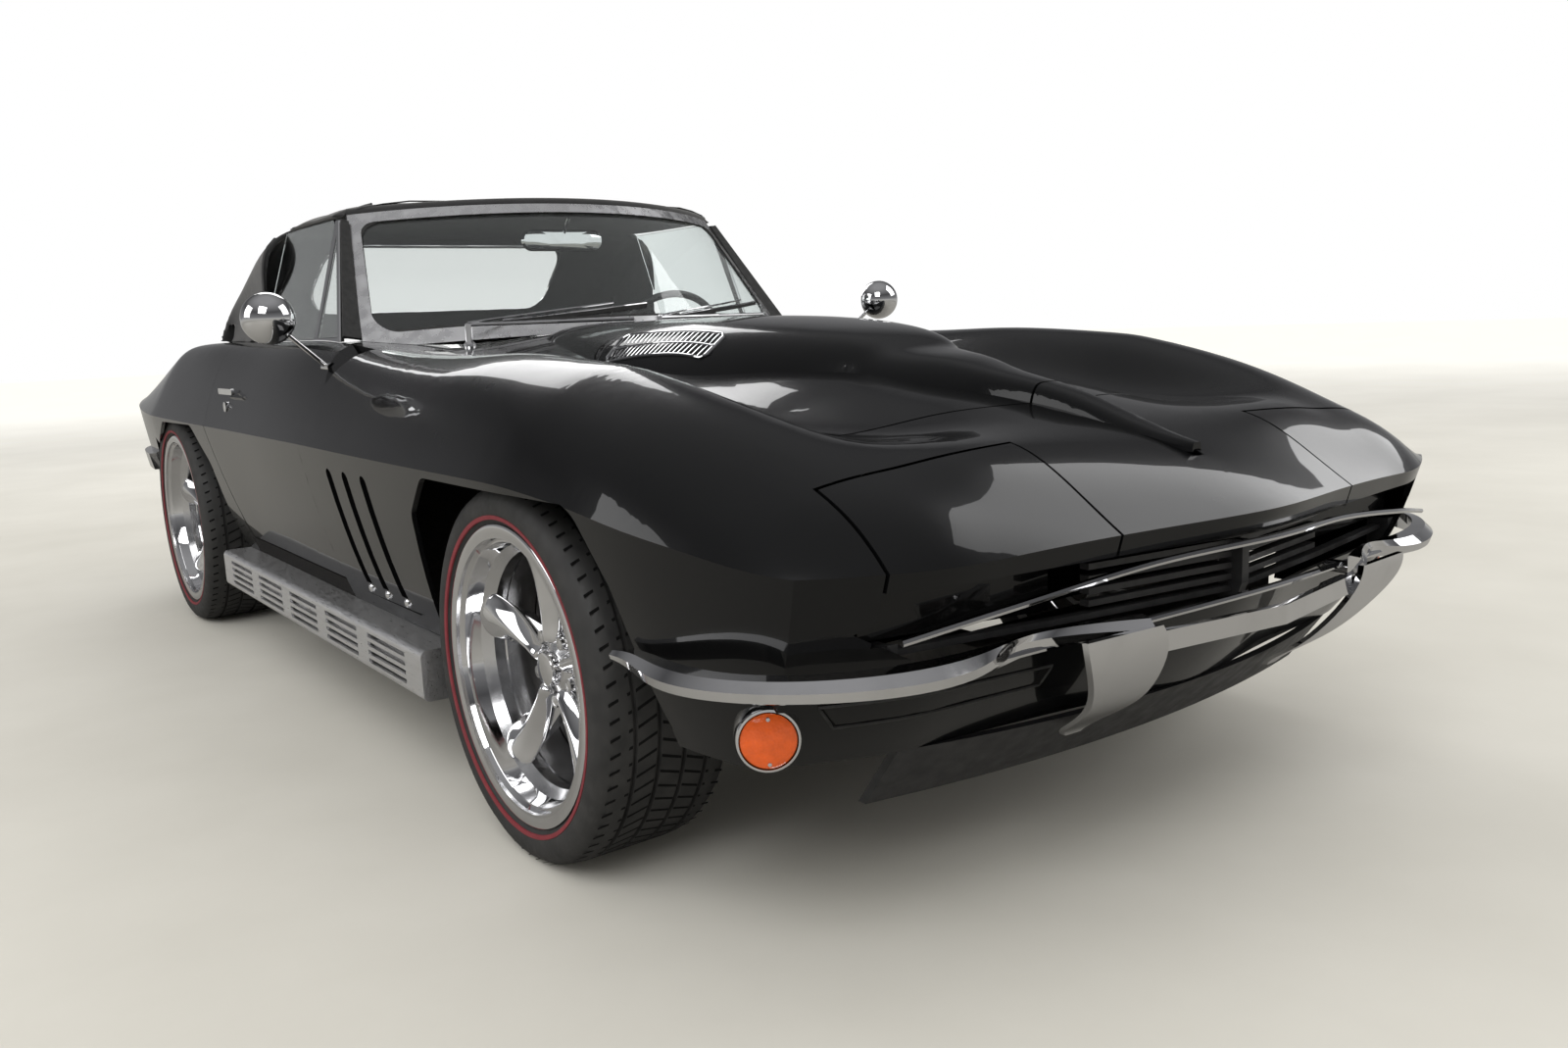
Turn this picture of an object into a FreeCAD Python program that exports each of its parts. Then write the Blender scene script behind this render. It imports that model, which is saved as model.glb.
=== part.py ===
import FreeCAD, Part
import math
import os

os.makedirs("parts", exist_ok=True)
Vector = FreeCAD.Vector
X_AXIS = Vector(1, 0, 0)
Z_AXIS = Vector(0, 0, 1)
SIDES = (("left", 1), ("right", -1))
full_turn = 360.0
surface_degree = 3

# Two-seat convertible muscle car. Millimetres, ground at z 0, nose towards -Y,
# the driver's side is +X. The origin is on the ground under the middle of the car.

# Whole car
overall_length = 4448.0
half_width = 884.0
body_height = 900.0
sill_height = 200.0
wheelbase = 2489.0
front_overhang = 920.0
rear_overhang = overall_length - wheelbase - front_overhang
front_track = 1443.0
rear_track = 1463.0
skin = 12.0
panel_gap = 5.0
seat_gap = 0.3
overrun = 40.0
roof_height = 1265.0

# Wheels, hubs and steering
front_rim_bead = 241.3
rear_rim_bead = 254.0
front_tyre_radius = 327.0
rear_tyre_radius = 342.0
front_tyre_width = 245.0
rear_tyre_width = 257.0
tyre_clearance = 8.0

front_axle_y = front_overhang - overall_length / 2
rear_axle_y = front_axle_y + wheelbase


def along(place):
    """Y of a place: -1 is the nose, 0 the front axle, 1 the rear axle and 2 the tail."""
    if place < 0:
        return front_axle_y + place * front_overhang
    if place <= 1:
        return front_axle_y + place * wheelbase
    return rear_axle_y + (place - 1) * rear_overhang


def wide(share):
    return share * half_width


def high(share):
    return share * body_height


# General shape helpers

def wire_of(points):
    return Part.makePolygon(list(points) + [points[0]])


def rounded_wire(points, radius):
    """A closed outline through the points, its corners rounded to the radius."""
    count = len(points)
    edges = []
    starts = []
    ends = []
    middles = []
    for index, corner in enumerate(points):
        before = (points[index - 1] - corner).normalize()
        after = (points[(index + 1) % count] - corner).normalize()
        half_turn = before.getAngle(after) / 2
        reach = radius / math.tan(half_turn)
        bisector = (before + after).normalize()
        centre = corner + bisector * (radius / math.sin(half_turn))
        starts.append(corner + before * reach)
        ends.append(corner + after * reach)
        middles.append(centre - bisector * radius)
    for index in range(count):
        edges.append(Part.Arc(starts[index], middles[index], ends[index]).toShape())
        edges.append(Part.LineSegment(ends[index], starts[(index + 1) % count]).toShape())
    return Part.Wire(edges)


def prism(wire, way):
    return Part.Face(wire).extrude(way)


def box(low, high_corner):
    size = high_corner - low
    return Part.makeBox(size.x, size.y, size.z, low)


def rod(start, end, radius):
    way = end - start
    return Part.makeCylinder(radius, way.Length, start, way)


def loft(wires, ruled=True):
    solid = Part.makeLoft(wires, True, ruled)
    if solid.Volume < 0:
        solid.reverse()
    return solid


def fuse(shapes):
    first = shapes[0]
    return first.fuse(list(shapes[1:])).removeSplitter() if len(shapes) > 1 else first


def mirrored(shape, side):
    return shape if side > 0 else shape.mirror(Vector(0, 0, 0), X_AXIS)


def turned_profile(points, centre):
    """Turns an outline of (along the axle, radius) pairs about a transverse axle."""
    wire = wire_of([Vector(centre.x + a, centre.y, centre.z + r) for a, r in points])
    return Part.Face(wire).revolve(centre, X_AXIS, full_turn)


def through(points, places):
    curve = Part.BSplineCurve()
    curve.interpolate(Points=list(points), Parameters=list(places))
    return curve


def skin_face(grid, row_places, column_places):
    """A smooth face through a grid of points."""
    rows = [through(row, column_places) for row in grid]
    across = rows[0]
    pole_rows = [row.getPoles() for row in rows]
    columns = [through(column, row_places) for column in zip(*pole_rows)]
    down = columns[0]
    poles = [list(line) for line in zip(*[column.getPoles() for column in columns])]
    surface = Part.BSplineSurface()
    surface.buildFromPolesMultsKnots(
        poles, down.getMultiplicities(), across.getMultiplicities(),
        down.getKnots(), across.getKnots(), False, False, surface_degree, surface_degree)
    return surface.toShape()


def solid_of(faces):
    shell = Part.makeShell(faces)
    shell.sewShape()
    solid = Part.Solid(shell)
    if solid.Volume < 0:
        solid.reverse()
    return solid


# Body: each row gives the place of the ridge line and of the waist crease, the width at the
# crease, then the heights of crease, fender crest, valley, flank and ridge, and the side share
# of the crest.
body_row_shares = (
    (-0.961, -0.787, 0.882, 0.656, 0.652, 0.656, 0.660, 0.663, 0.75),
    (-0.890, -0.716, 0.905, 0.660, 0.717, 0.711, 0.707, 0.709, 0.75),
    (-0.754, -0.602, 0.937, 0.678, 0.776, 0.784, 0.778, 0.767, 0.75),
    (-0.580, -0.472, 0.964, 0.698, 0.833, 0.800, 0.806, 0.810, 0.75),
    (-0.407, -0.336, 0.979, 0.719, 0.880, 0.806, 0.831, 0.840, 0.75),
    (-0.200, -0.148, 0.990, 0.736, 0.924, 0.828, 0.861, 0.872, 0.75),
    (0.000, 0.010, 0.995, 0.741, 0.944, 0.856, 0.887, 0.898, 0.75),
    (0.087, 0.087, 0.995, 0.741, 0.956, 0.878, 0.906, 0.917, 0.75),
    (0.167, 0.167, 0.997, 0.742, 0.955, 0.894, 0.922, 0.933, 0.75),
    (0.268, 0.268, 0.999, 0.744, 0.956, 0.917, 0.944, 0.956, 0.76),
    (0.388, 0.388, 1.000, 0.747, 0.972, 0.958, 0.983, 0.992, 0.77),
    (0.509, 0.509, 0.998, 0.747, 0.995, 0.990, 0.997, 1.003, 0.78),
    (0.669, 0.669, 0.995, 0.747, 0.999, 0.994, 0.997, 1.000, 0.79),
    (0.810, 0.810, 0.998, 0.747, 1.001, 0.994, 0.995, 0.998, 0.80),
    (0.910, 0.910, 1.000, 0.748, 1.003, 0.992, 0.993, 0.997, 0.81),
    (1.000, 1.000, 1.000, 0.749, 1.001, 0.983, 0.985, 0.989, 0.81),
    (1.218, 1.218, 0.995, 0.751, 0.980, 0.962, 0.968, 0.976, 0.81),
    (1.507, 1.500, 0.967, 0.760, 0.914, 0.917, 0.928, 0.936, 0.80),
    (1.748, 1.710, 0.922, 0.778, 0.850, 0.858, 0.872, 0.880, 0.78),
    (1.990, 1.854, 0.860, 0.794, 0.802, 0.809, 0.817, 0.822, 0.75),
)
shoulder_side_share = 0.91
shoulder_rise_share = 0.66
inner_crest_side_share = 0.09
inner_crest_rise_share = 0.75
valley_side_share = 0.56
flank_side_share = 0.29
sweep_shares = (0.0, 0.2, 0.38, 0.44, 0.5, 0.78, 1.0)
nose_setback_shares = (0.23, 0.16, 0.10, 0.05, 0.02)
tail_setback_shares = (0.02, 0.05, 0.12)
drop_shares = (0.0, 0.15, 0.36, 0.58, 0.79, 1.0)
tuck_shares = (0.0, 0.014, 0.039, 0.072, 0.112, 0.146)
nose_setback_curve_shares = (0.0, 0.08, 0.22, 0.45, 0.74, 1.0)
tail_setback_curve_shares = (0.0, 0.30, 0.36, 0.40, 0.62, 1.0)
nose_tuck_share = 0.4
nose_tuck_step_share = 0.15
tail_tuck_share = 0.5
tail_tuck_step_share = 0.17


def half_row(row):
    """Points from the ridge line out to the waist crease on the +X side."""
    ridge_place, waist_place, width, waist, crest, valley, flank, ridge, crest_side = row
    reach = wide(width)
    shoulder = waist + shoulder_rise_share * (crest - waist)
    inner_crest = valley + inner_crest_rise_share * (crest - valley)
    sides = (0.0, flank_side_share, valley_side_share, crest_side - inner_crest_side_share,
             crest_side, shoulder_side_share, 1.0)
    heights = (ridge, flank, valley, inner_crest, crest, shoulder, waist)
    ridge_y = along(ridge_place)
    waist_y = along(waist_place)
    return [Vector(side * reach, ridge_y + sweep * (waist_y - ridge_y), high(height))
            for side, height, sweep in zip(sides, heights, sweep_shares)]


def full_row(row):
    half = half_row(row)
    return [Vector(-p.x, p.y, p.z) for p in reversed(half[1:])] + half


def dropped(point, depth, setback, tuck_scale, curve_shares):
    """The point under an edge point, tucked in and set back as the body falls away."""
    drop = drop_shares[depth]
    tuck = tuck_shares[depth] * tuck_scale
    height = point.z + drop * (sill_height - point.z)
    return Vector(point.x * (1 - tuck), point.y + setback * curve_shares[depth], height)


def body_block():
    rows = [full_row(row) for row in body_row_shares]
    count = len(rows)
    row_places = [row[1] for row in body_row_shares]
    row_places = [(place - row_places[0]) / (row_places[-1] - row_places[0]) for place in row_places]
    reference = body_row_shares[len(body_row_shares) // 2]
    half_places = (0.0, flank_side_share, valley_side_share,
                   reference[8] - inner_crest_side_share, reference[8], shoulder_side_share, 1.0)
    column_places = [-place for place in reversed(half_places[1:])] + list(half_places)
    depths = range(len(drop_shares))

    def row_setback(index):
        if index < len(nose_setback_shares):
            return nose_setback_shares[index] * front_overhang, nose_setback_curve_shares
        from_tail = index - (count - len(tail_setback_shares))
        if from_tail >= 0:
            return -tail_setback_shares[from_tail] * rear_overhang, tail_setback_curve_shares
        return 0.0, nose_setback_curve_shares

    def tuck_scale(index):
        nose_scale = min(1.0, nose_tuck_share + nose_tuck_step_share * index)
        tail_scale = min(1.0, tail_tuck_share + tail_tuck_step_share * (count - 1 - index))
        return min(nose_scale, tail_scale)

    def side_face(column):
        grid = []
        for index, row in enumerate(rows):
            setback, curve = row_setback(index)
            grid.append([dropped(row[column], depth, setback, tuck_scale(index), curve)
                         for depth in depths])
        return skin_face(grid, row_places, drop_shares)

    def end_face(index):
        setback, curve = row_setback(index)
        grid = [[dropped(point, depth, setback, tuck_scale(index), curve) for depth in depths]
                for point in rows[index]]
        return skin_face(grid, column_places, drop_shares)

    upper = skin_face(rows, row_places, column_places)
    faces = [upper, side_face(0), side_face(-1), end_face(0), end_face(count - 1)]
    bottom_edges = []
    for face in faces[1:]:
        for edge in face.Edges:
            bounds = edge.BoundBox
            if bounds.ZMax < sill_height + skin / 10:
                bottom_edges.append(edge)
    bottom = Part.Face(Part.Wire(Part.__sortEdges__(bottom_edges)))
    return solid_of(faces + [bottom])


def shrunk(shape, wall):
    """The body block drawn in by a wall, its open bottom lowered past the sill."""
    half_length = overall_length / 2
    matrix = FreeCAD.Matrix()
    matrix.A11 = (half_width - wall) / half_width
    matrix.A22 = (half_length - wall) / half_length
    matrix.A33 = (body_height - sill_height - wall) / (body_height - sill_height)
    matrix.A34 = sill_height * (1 - matrix.A33) - wall / 4
    return shape.transformGeometry(matrix)


def write(name, shape):
    for solid in shape.Solids:
        if not solid.isValid():
            print("not valid:", name)
    print(name, len(shape.Solids), round(shape.Volume / 1e6, 2), "litres")
    shape.exportStep("parts/" + name + ".step")


# Panel outlines and cuts of the body
cowl_y = along(0.40)
firewall_y = along(0.345)
door_front_y = along(0.388)
door_rear_y = along(0.768)
door_outline_shares = ((0.388, 0.394), (0.7336, 0.394), (0.768, 0.747), (0.846, 1.01),
                       (0.464, 1.01), (0.388, 0.89))
door_rear_points = (1, 2, 3)
belt_height = 898.0
door_inner_side = 690.0
door_edge_slant_share = 0.25
cabin_half_width = 640.0
cabin_floor = 222.0
cabin_rear_y = along(0.80)
deck_front_y = along(0.955)
shelf_height = 620.0
shelf_half_width = 530.0
tunnel_half_width = 130.0
tunnel_height = 470.0
inner_fender_side = 430.0
inner_fender_low = 428.0
bulkhead_share = -0.62
hood_stop_height = 4.0
hood_stop_shares = (-0.10, 0.30)
pod_bearing_width = 10.0
pod_bearing_half = 55.0
pod_pin_radius = 12.0
hood_front_share = -0.490
hood_corner_share = -0.399
hood_rear_share = 0.375
hood_corner_side_share = 0.460
hood_rear_side_share = 0.585
front_arch_shares = ((-0.475, 0.0), (-0.462, 0.36), (-0.405, 0.60), (-0.335, 0.725),
                     (0.095, 0.725), (0.135, 0.64), (0.165, 0.36), (0.17, 0.0))
rear_arch_shares = ((0.79, 0.0), (0.785, 0.36), (0.787, 0.62), (0.835, 0.742), (1.0, 0.735),
                    (1.16, 0.655), (1.36, 0.48), (1.42, 0.0))
arch_corner = 55.0
arch_depth = 310.0
gill_place_shares = (0.227, 0.272, 0.314)
gill_width = 35.0
gill_low = 370.0
gill_high = 630.0
pod_axis_share = -0.771
pod_axis_height = 597.0
pod_inner_side = 303.0
pod_outer_side = 670.0
pod_inner_radius = 131.0
pod_outer_radius = 109.0
pod_lip_height = 562.0
lamp_face_depth = 70.0
lamp_radius = 73.0
lamp_spacing = 170.0
grille_low = 455.0
nose_lift_shares = ((-0.40, 0.335), (-1.1, 0.335))
tail_lift_shares = ((1.30, 0.25), (1.55, 0.28), (2.1, 0.35))
fuel_lid_radius = 95.0
plate_bolt_spacing = 177.8
plate_bolt_radius = 3.5
plate_height = 440.0
fuel_lid_share = 1.42
grille_half_width = 700.0
grille_shoulder_share = 0.86
grille_depth_share = 0.3
door_middle_share = 0.7
hood_base_share = 0.5
hood_stop_foot_share = 0.7
fuel_bore_share = 0.6
gill_depth_share = 0.8
plate_bolt_share = 1.8


def side_outline(shares, side):
    """A side-view outline, its low end carried below the car."""
    points = []
    for place, height in shares:
        low = -overrun if height == 0 else high(height)
        points.append(Vector(side, along(place), low))
    return points


def arch_cut(shares):
    outer_side = half_width + overrun
    wire = rounded_wire(side_outline(shares, outer_side), arch_corner)
    right_way = prism(wire, Vector(-arch_depth - overrun, 0, 0))
    return [right_way, right_way.mirror(Vector(0, 0, 0), X_AXIS)]


def door_cut(side, gap):
    """The space of a door, its rear edge slanted so that the inner corner clears the jamb."""
    outer_side = half_width + overrun
    slant = door_edge_slant_share * (outer_side - door_inner_side)
    middle = Vector(0, (door_front_y + door_rear_y) / 2, high(door_middle_share))
    outline = [Vector(0, along(place), high(height)) for place, height in door_outline_shares]
    wires = []
    for at_side, shift in ((outer_side, 0.0), (door_inner_side - gap, -slant)):
        points = []
        for index, point in enumerate(outline):
            grown = Vector(side * at_side, point.y + math.copysign(gap, point.y - middle.y),
                           point.z + math.copysign(gap, point.z - middle.z))
            if index in door_rear_points:
                grown.y += shift
            points.append(grown)
        wires.append(wire_of(points))
    return loft(wires)


def hood_cut(gap):
    """The hood's plan outline with its bowed front edge, as a tall prism."""
    corner_side = wide(hood_corner_side_share) + gap
    rear_side = wide(hood_rear_side_share) + gap
    front = along(hood_front_share) - gap
    corner = along(hood_corner_share) - gap
    rear = along(hood_rear_share) + gap
    base = high(hood_base_share)
    bow = Part.Arc(Vector(-corner_side, corner, base), Vector(0, front, base),
                   Vector(corner_side, corner, base)).toShape()
    corner_points = [Vector(corner_side, corner, base), Vector(rear_side, rear, base),
                     Vector(-rear_side, rear, base), Vector(-corner_side, corner, base)]
    sides = Part.makePolygon(corner_points)
    return prism(Part.Wire([bow] + sides.Edges), Vector(0, 0, high(1.0)))


def pod_cut(side, gap):
    """The drum in which a headlamp pod turns."""
    drum = Part.makeCone(pod_inner_radius + gap, pod_outer_radius + gap,
                         pod_outer_side - pod_inner_side + 2 * gap,
                         Vector(pod_inner_side - gap, along(pod_axis_share), pod_axis_height), X_AXIS)
    return mirrored(drum, side)


def grille_cut():
    """The mouth under the nose lip, narrowing to a point at each end."""
    front = along(-1.0) - overrun
    middle = (grille_low + pod_lip_height) / 2
    shoulder = grille_half_width * grille_shoulder_share
    points = [Vector(-grille_half_width, front, middle), Vector(-shoulder, front, grille_low),
              Vector(shoulder, front, grille_low), Vector(grille_half_width, front, middle),
              Vector(shoulder, front, pod_lip_height), Vector(-shoulder, front, pod_lip_height)]
    return prism(wire_of(points), Vector(0, front_overhang * grille_depth_share, 0))


def under_cut(lift_shares):
    """What is cut away under an overhang, along a line of (place, height) shares."""
    points = [Vector(-half_width - overrun, along(place), high(height)) for place, height in lift_shares]
    points.append(Vector(points[-1].x, points[-1].y, -overrun))
    points.append(Vector(points[0].x, points[0].y, -overrun))
    return prism(wire_of(points), Vector(2 * (half_width + overrun), 0, 0))


def fuel_hole(radius):
    low = Vector(0, along(fuel_lid_share), high(fuel_bore_share))
    return rod(low, low + Vector(0, 0, body_height), radius)


def gill_cuts(side):
    cuts = []
    depth = half_width * gill_depth_share
    for place in gill_place_shares:
        middle = along(place)
        slot = box(Vector(depth, middle - gill_width / 2, gill_low),
                   Vector(half_width + overrun, middle + gill_width / 2, gill_high - gill_width / 2))
        crown = rod(Vector(depth, middle, gill_high - gill_width / 2),
                    Vector(half_width + overrun, middle, gill_high - gill_width / 2), gill_width / 2)
        cuts.append(mirrored(slot.fuse(crown), side))
    return cuts


# Raised bulge of the hood and nose: place, half width at its foot, top height and depth
bulge_row_shares = (
    (-0.815, 0.012, 0.765, 0.010),
    (-0.689, 0.034, 0.802, 0.016),
    (-0.553, 0.045, 0.850, 0.031),
    (-0.379, 0.074, 0.889, 0.043),
    (-0.265, 0.120, 0.916, 0.053),
    (-0.146, 0.160, 0.936, 0.060),
    (0.000, 0.250, 0.979, 0.098),
    (0.060, 0.330, 0.998, 0.111),
    (0.130, 0.365, 1.012, 0.117),
    (0.240, 0.370, 1.018, 0.117),
    (0.375, 0.370, 1.018, 0.117),
)
bulge_root_share = 0.16
bulge_profile_shares = ((0.0, 0.0), (0.45, 0.04), (0.75, 0.22), (0.93, 0.60), (1.04, 1.05))


def hood_bulge():
    """A rounded bulge that widens towards the windshield."""
    grid = []
    for place, foot, top, depth in bulge_row_shares:
        half = [Vector(wide(foot * side), along(place), high(top - depth * fall))
                for side, fall in bulge_profile_shares]
        grid.append([Vector(-p.x, p.y, p.z) for p in reversed(half[1:])] + half)
    first, last = bulge_row_shares[0][0], bulge_row_shares[-1][0]
    row_places = [(row[0] - first) / (last - first) for row in bulge_row_shares]
    sides = [side for side, fall in bulge_profile_shares]
    column_places = [-side for side in reversed(sides[1:])] + sides
    crown = skin_face(grid, row_places, column_places)
    return crown.extrude(Vector(0, 0, -high(bulge_root_share)))


def slab(front, rear, half=half_width + overrun, low=-overrun, top=roof_height):
    return box(Vector(-half, front, low), Vector(half, rear, top))


def wheel_pockets():
    """Room inside the rear fenders for the tyres."""
    centre = Vector(rear_track / 2, rear_axle_y, rear_tyre_radius)
    reach = rear_tyre_width / 2 + panel_gap
    across = Vector(reach, 0, 0)
    pocket = rod(centre - across, centre + across, rear_tyre_radius + tyre_clearance)
    return [pocket, mirrored(pocket, -1)]


block = body_block()
inner = shrunk(block, skin)
liner = shrunk(block, skin + 2 * seat_gap)
grown = shrunk(block, -2 * seat_gap)
bulge = hood_bulge()
bulge_room = bulge.translated(Vector(0, -skin / 2, -skin))
shell = block.fuse(bulge).cut([inner, bulge_room])
front_arches = arch_cut(front_arch_shares)
rear_arches = arch_cut(rear_arch_shares)
arches = front_arches + rear_arches

cowl_corner_y = along(0.478)
cowl_centre_y = along(0.393)
cowl_low = 790.0
cowl_corner_side = 655.0


def cabin_hole():
    """The opening over the cabin, its front edge bowed like the foot of the windshield."""
    base = cabin_floor
    arc = Part.Arc(Vector(-cowl_corner_side, cowl_corner_y, base), Vector(0, cowl_centre_y, base),
                   Vector(cowl_corner_side, cowl_corner_y, base)).toShape()
    rest = Part.makePolygon([Vector(cowl_corner_side, cowl_corner_y, base),
                             Vector(door_inner_side, cowl_corner_y, base),
                             Vector(door_inner_side, deck_front_y, base),
                             Vector(-door_inner_side, deck_front_y, base),
                             Vector(-door_inner_side, cowl_corner_y, base),
                             Vector(-cowl_corner_side, cowl_corner_y, base)])
    return prism(Part.Wire([arc] + rest.Edges), Vector(0, 0, roof_height))


cabin_opening = cabin_hole()


def front_body():
    cowl = slab(door_front_y - skin, cowl_corner_y + skin, door_inner_side - panel_gap, cowl_low)
    shape = shell.common(slab(-overall_length, door_front_y).fuse(cowl))
    cuts = arches + [hood_cut(panel_gap), grille_cut(), cabin_opening, under_cut(nose_lift_shares)]
    for name, side in SIDES:
        cuts.append(pod_cut(side, panel_gap))
        cuts.extend(gill_cuts(side))
    shape = shape.cut(cuts)
    front = along(bulkhead_share)
    under_hood = shrunk(block, skin + hood_stop_height)
    walls = [slab(front, front + skin / 2, half=half_width, low=inner_fender_low).common(inner)]
    for name, side in SIDES:
        wall = box(Vector(inner_fender_side - skin, along(bulkhead_share), inner_fender_low),
                   Vector(inner_fender_side, firewall_y, body_height))
        wall = mirrored(wall, side)
        walls.append(wall.common(inner).cut([pod_cut(side, panel_gap), hood_cut(panel_gap)]))
        walls.append(wall.common(under_hood).common(hood_cut(panel_gap)))
        for place in hood_stop_shares:
            foot = Vector(inner_fender_side - skin / 2, along(place), high(hood_stop_foot_share))
            walls.append(mirrored(rod(foot, foot + Vector(0, 0, body_height), skin), side).common(liner))
        axis_y = along(pod_axis_share)
        for start in (pod_inner_side - panel_gap - pod_bearing_width, pod_outer_side + panel_gap):
            plate = box(Vector(start, axis_y - pod_bearing_half / 2, pod_axis_height - 2 * pod_pin_radius),
                        Vector(start + pod_bearing_width, axis_y + pod_bearing_half, body_height))
            walls.append(mirrored(plate, side).common(inner))
    return fuse([shape] + walls)


def rear_body():
    shape = shell.common(slab(along(door_outline_shares[1][0]), overall_length))
    cuts = arches + wheel_pockets() + [cabin_opening, under_cut(tail_lift_shares)]
    cuts.append(fuel_hole(fuel_lid_radius))
    cuts.extend(door_cut(side, panel_gap) for name, side in SIDES)
    for name, side in SIDES:
        bolt_side = side * plate_bolt_spacing / 2
        cuts.append(rod(Vector(bolt_side, along(plate_bolt_share), plate_height),
                        Vector(bolt_side, overall_length, plate_height), plate_bolt_radius))
    ring = fuel_hole(fuel_lid_radius + skin)
    bowl_room = slab(-overall_length, overall_length, low=body_height - 2 * fuel_lid_radius)
    bowl = inner.common(ring.cut(fuel_hole(fuel_lid_radius + panel_gap))).common(bowl_room)
    seat = liner.common(ring.cut(fuel_hole(fuel_lid_radius - skin))).cut(shrunk(block, 3 * skin))
    return fuse([shape.cut(cuts), bowl.cut(shrunk(block, 3 * skin)), seat])


def cabin_tub():
    """Floor, sills, firewall, tunnel, pillars and the shelf behind the seats."""
    rear_edge = along(door_outline_shares[1][0])
    middle = block.common(slab(door_front_y + seat_gap, rear_edge - seat_gap))
    front = liner.common(slab(firewall_y, door_front_y + skin))
    rear = liner.common(slab(rear_edge - skin, deck_front_y + skin))
    shape = middle.fuse([front, rear])
    wells = []
    for name, side in SIDES:
        well = box(Vector(tunnel_half_width, firewall_y + skin, cabin_floor),
                   Vector(cabin_half_width, cabin_rear_y - skin, tunnel_height + skin))
        wells.append(mirrored(well, side))
    upper = box(Vector(-cabin_half_width, firewall_y + skin, tunnel_height),
                Vector(cabin_half_width, cowl_y + skin, belt_height - 6 * skin))
    room = box(Vector(-door_inner_side, cowl_y, tunnel_height),
               Vector(door_inner_side, cabin_rear_y - skin, roof_height))
    shelf = box(Vector(-shelf_half_width, cabin_rear_y - 2 * skin, shelf_height),
                Vector(shelf_half_width, deck_front_y, roof_height))
    cuts = wells + [upper, room, shelf, hood_cut(panel_gap)] + arches
    cuts.append(box(Vector(-half_width, cabin_rear_y + skin, 0),
                    Vector(half_width, deck_front_y + overrun, shelf_height - skin)))
    cuts.append(slab(-overall_length, cowl_corner_y + skin, low=cowl_low - seat_gap))
    for name, side in SIDES:
        flank = box(Vector(shelf_half_width + skin, cabin_rear_y + skin, -overrun),
                    Vector(half_width + overrun, deck_front_y + overrun, roof_height))
        cuts.append(mirrored(flank, side))
    for name, side in SIDES:
        cuts.append(door_cut(side, panel_gap))
    return shape.cut(cuts)


def hood():
    shape = shell.common(hood_cut(0))
    return shape.common(slab(-overall_length, along(hood_rear_share) + overrun, low=high(hood_base_share)))


def door(side):
    return block.common(door_cut(side, 0))


def headlamp(side):
    """A turning pod: body skin outside, a flat face with two round lamps inside."""
    axis_y = along(pod_axis_share)
    pod = block.common(pod_cut(side, 0))
    behind = slab(axis_y + lamp_face_depth, overall_length)
    under = slab(-overall_length, axis_y, top=pod_lip_height)
    pod = pod.cut([behind, under])
    middle = (pod_inner_side + pod_outer_side) / 2
    lamps = []
    for offset in (-lamp_spacing / 2, lamp_spacing / 2):
        centre = Vector(side * (middle + offset), axis_y + lamp_face_depth, pod_axis_height)
        lamps.append(rod(centre, centre + Vector(0, skin, 0), lamp_radius))
    pin = rod(Vector(pod_inner_side - panel_gap + seat_gap, axis_y, pod_axis_height),
              Vector(pod_outer_side + panel_gap - seat_gap, axis_y, pod_axis_height), pod_pin_radius)
    return fuse([pod, mirrored(pin, side)] + lamps)


flange_height = 17.5
rim_inset = 8.0
rim_wall = 9.0
bead_width = 26.0
well_depth = 24.0
tyre_wall = 13.0
shoulder_radius_drop = 13.0
hub_radius = 52.0
hub_bore_radius = 31.0
hub_out = 38.0
spoke_count = 5
spoke_root = 72.0
spoke_tip = 46.0
spoke_depth = 34.0
disc_radius = 160.0
disc_in = 42.0
disc_width = 26.0
lug_circle_radius = 60.3
lug_radius = 11.0
lug_height = 20.0
kingpin_inset = 92.0
kingpin_reach = 84.0
kingpin_radius = 20.0
wheel_gap = 0.3
spoke_foot_share = 0.7
spoke_seat_share = 1.2
spoke_lean_share = 1.6
spoke_bevel_share = 0.35
spoke_ridge_share = 1 / 7
spoke_thinning_share = 1 / 3
hub_face_share = 0.6
tyre_shoulder_share = 0.93
tyre_tread_share = 0.76
tyre_inner_tread_share = 0.74
steering_arm_share = 1.4


def wheel_centre(place, track, radius):
    return Vector(track / 2, along(place), radius)


front_centre = wheel_centre(0, front_track, front_tyre_radius)
rear_centre = wheel_centre(1, rear_track, rear_tyre_radius)


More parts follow.
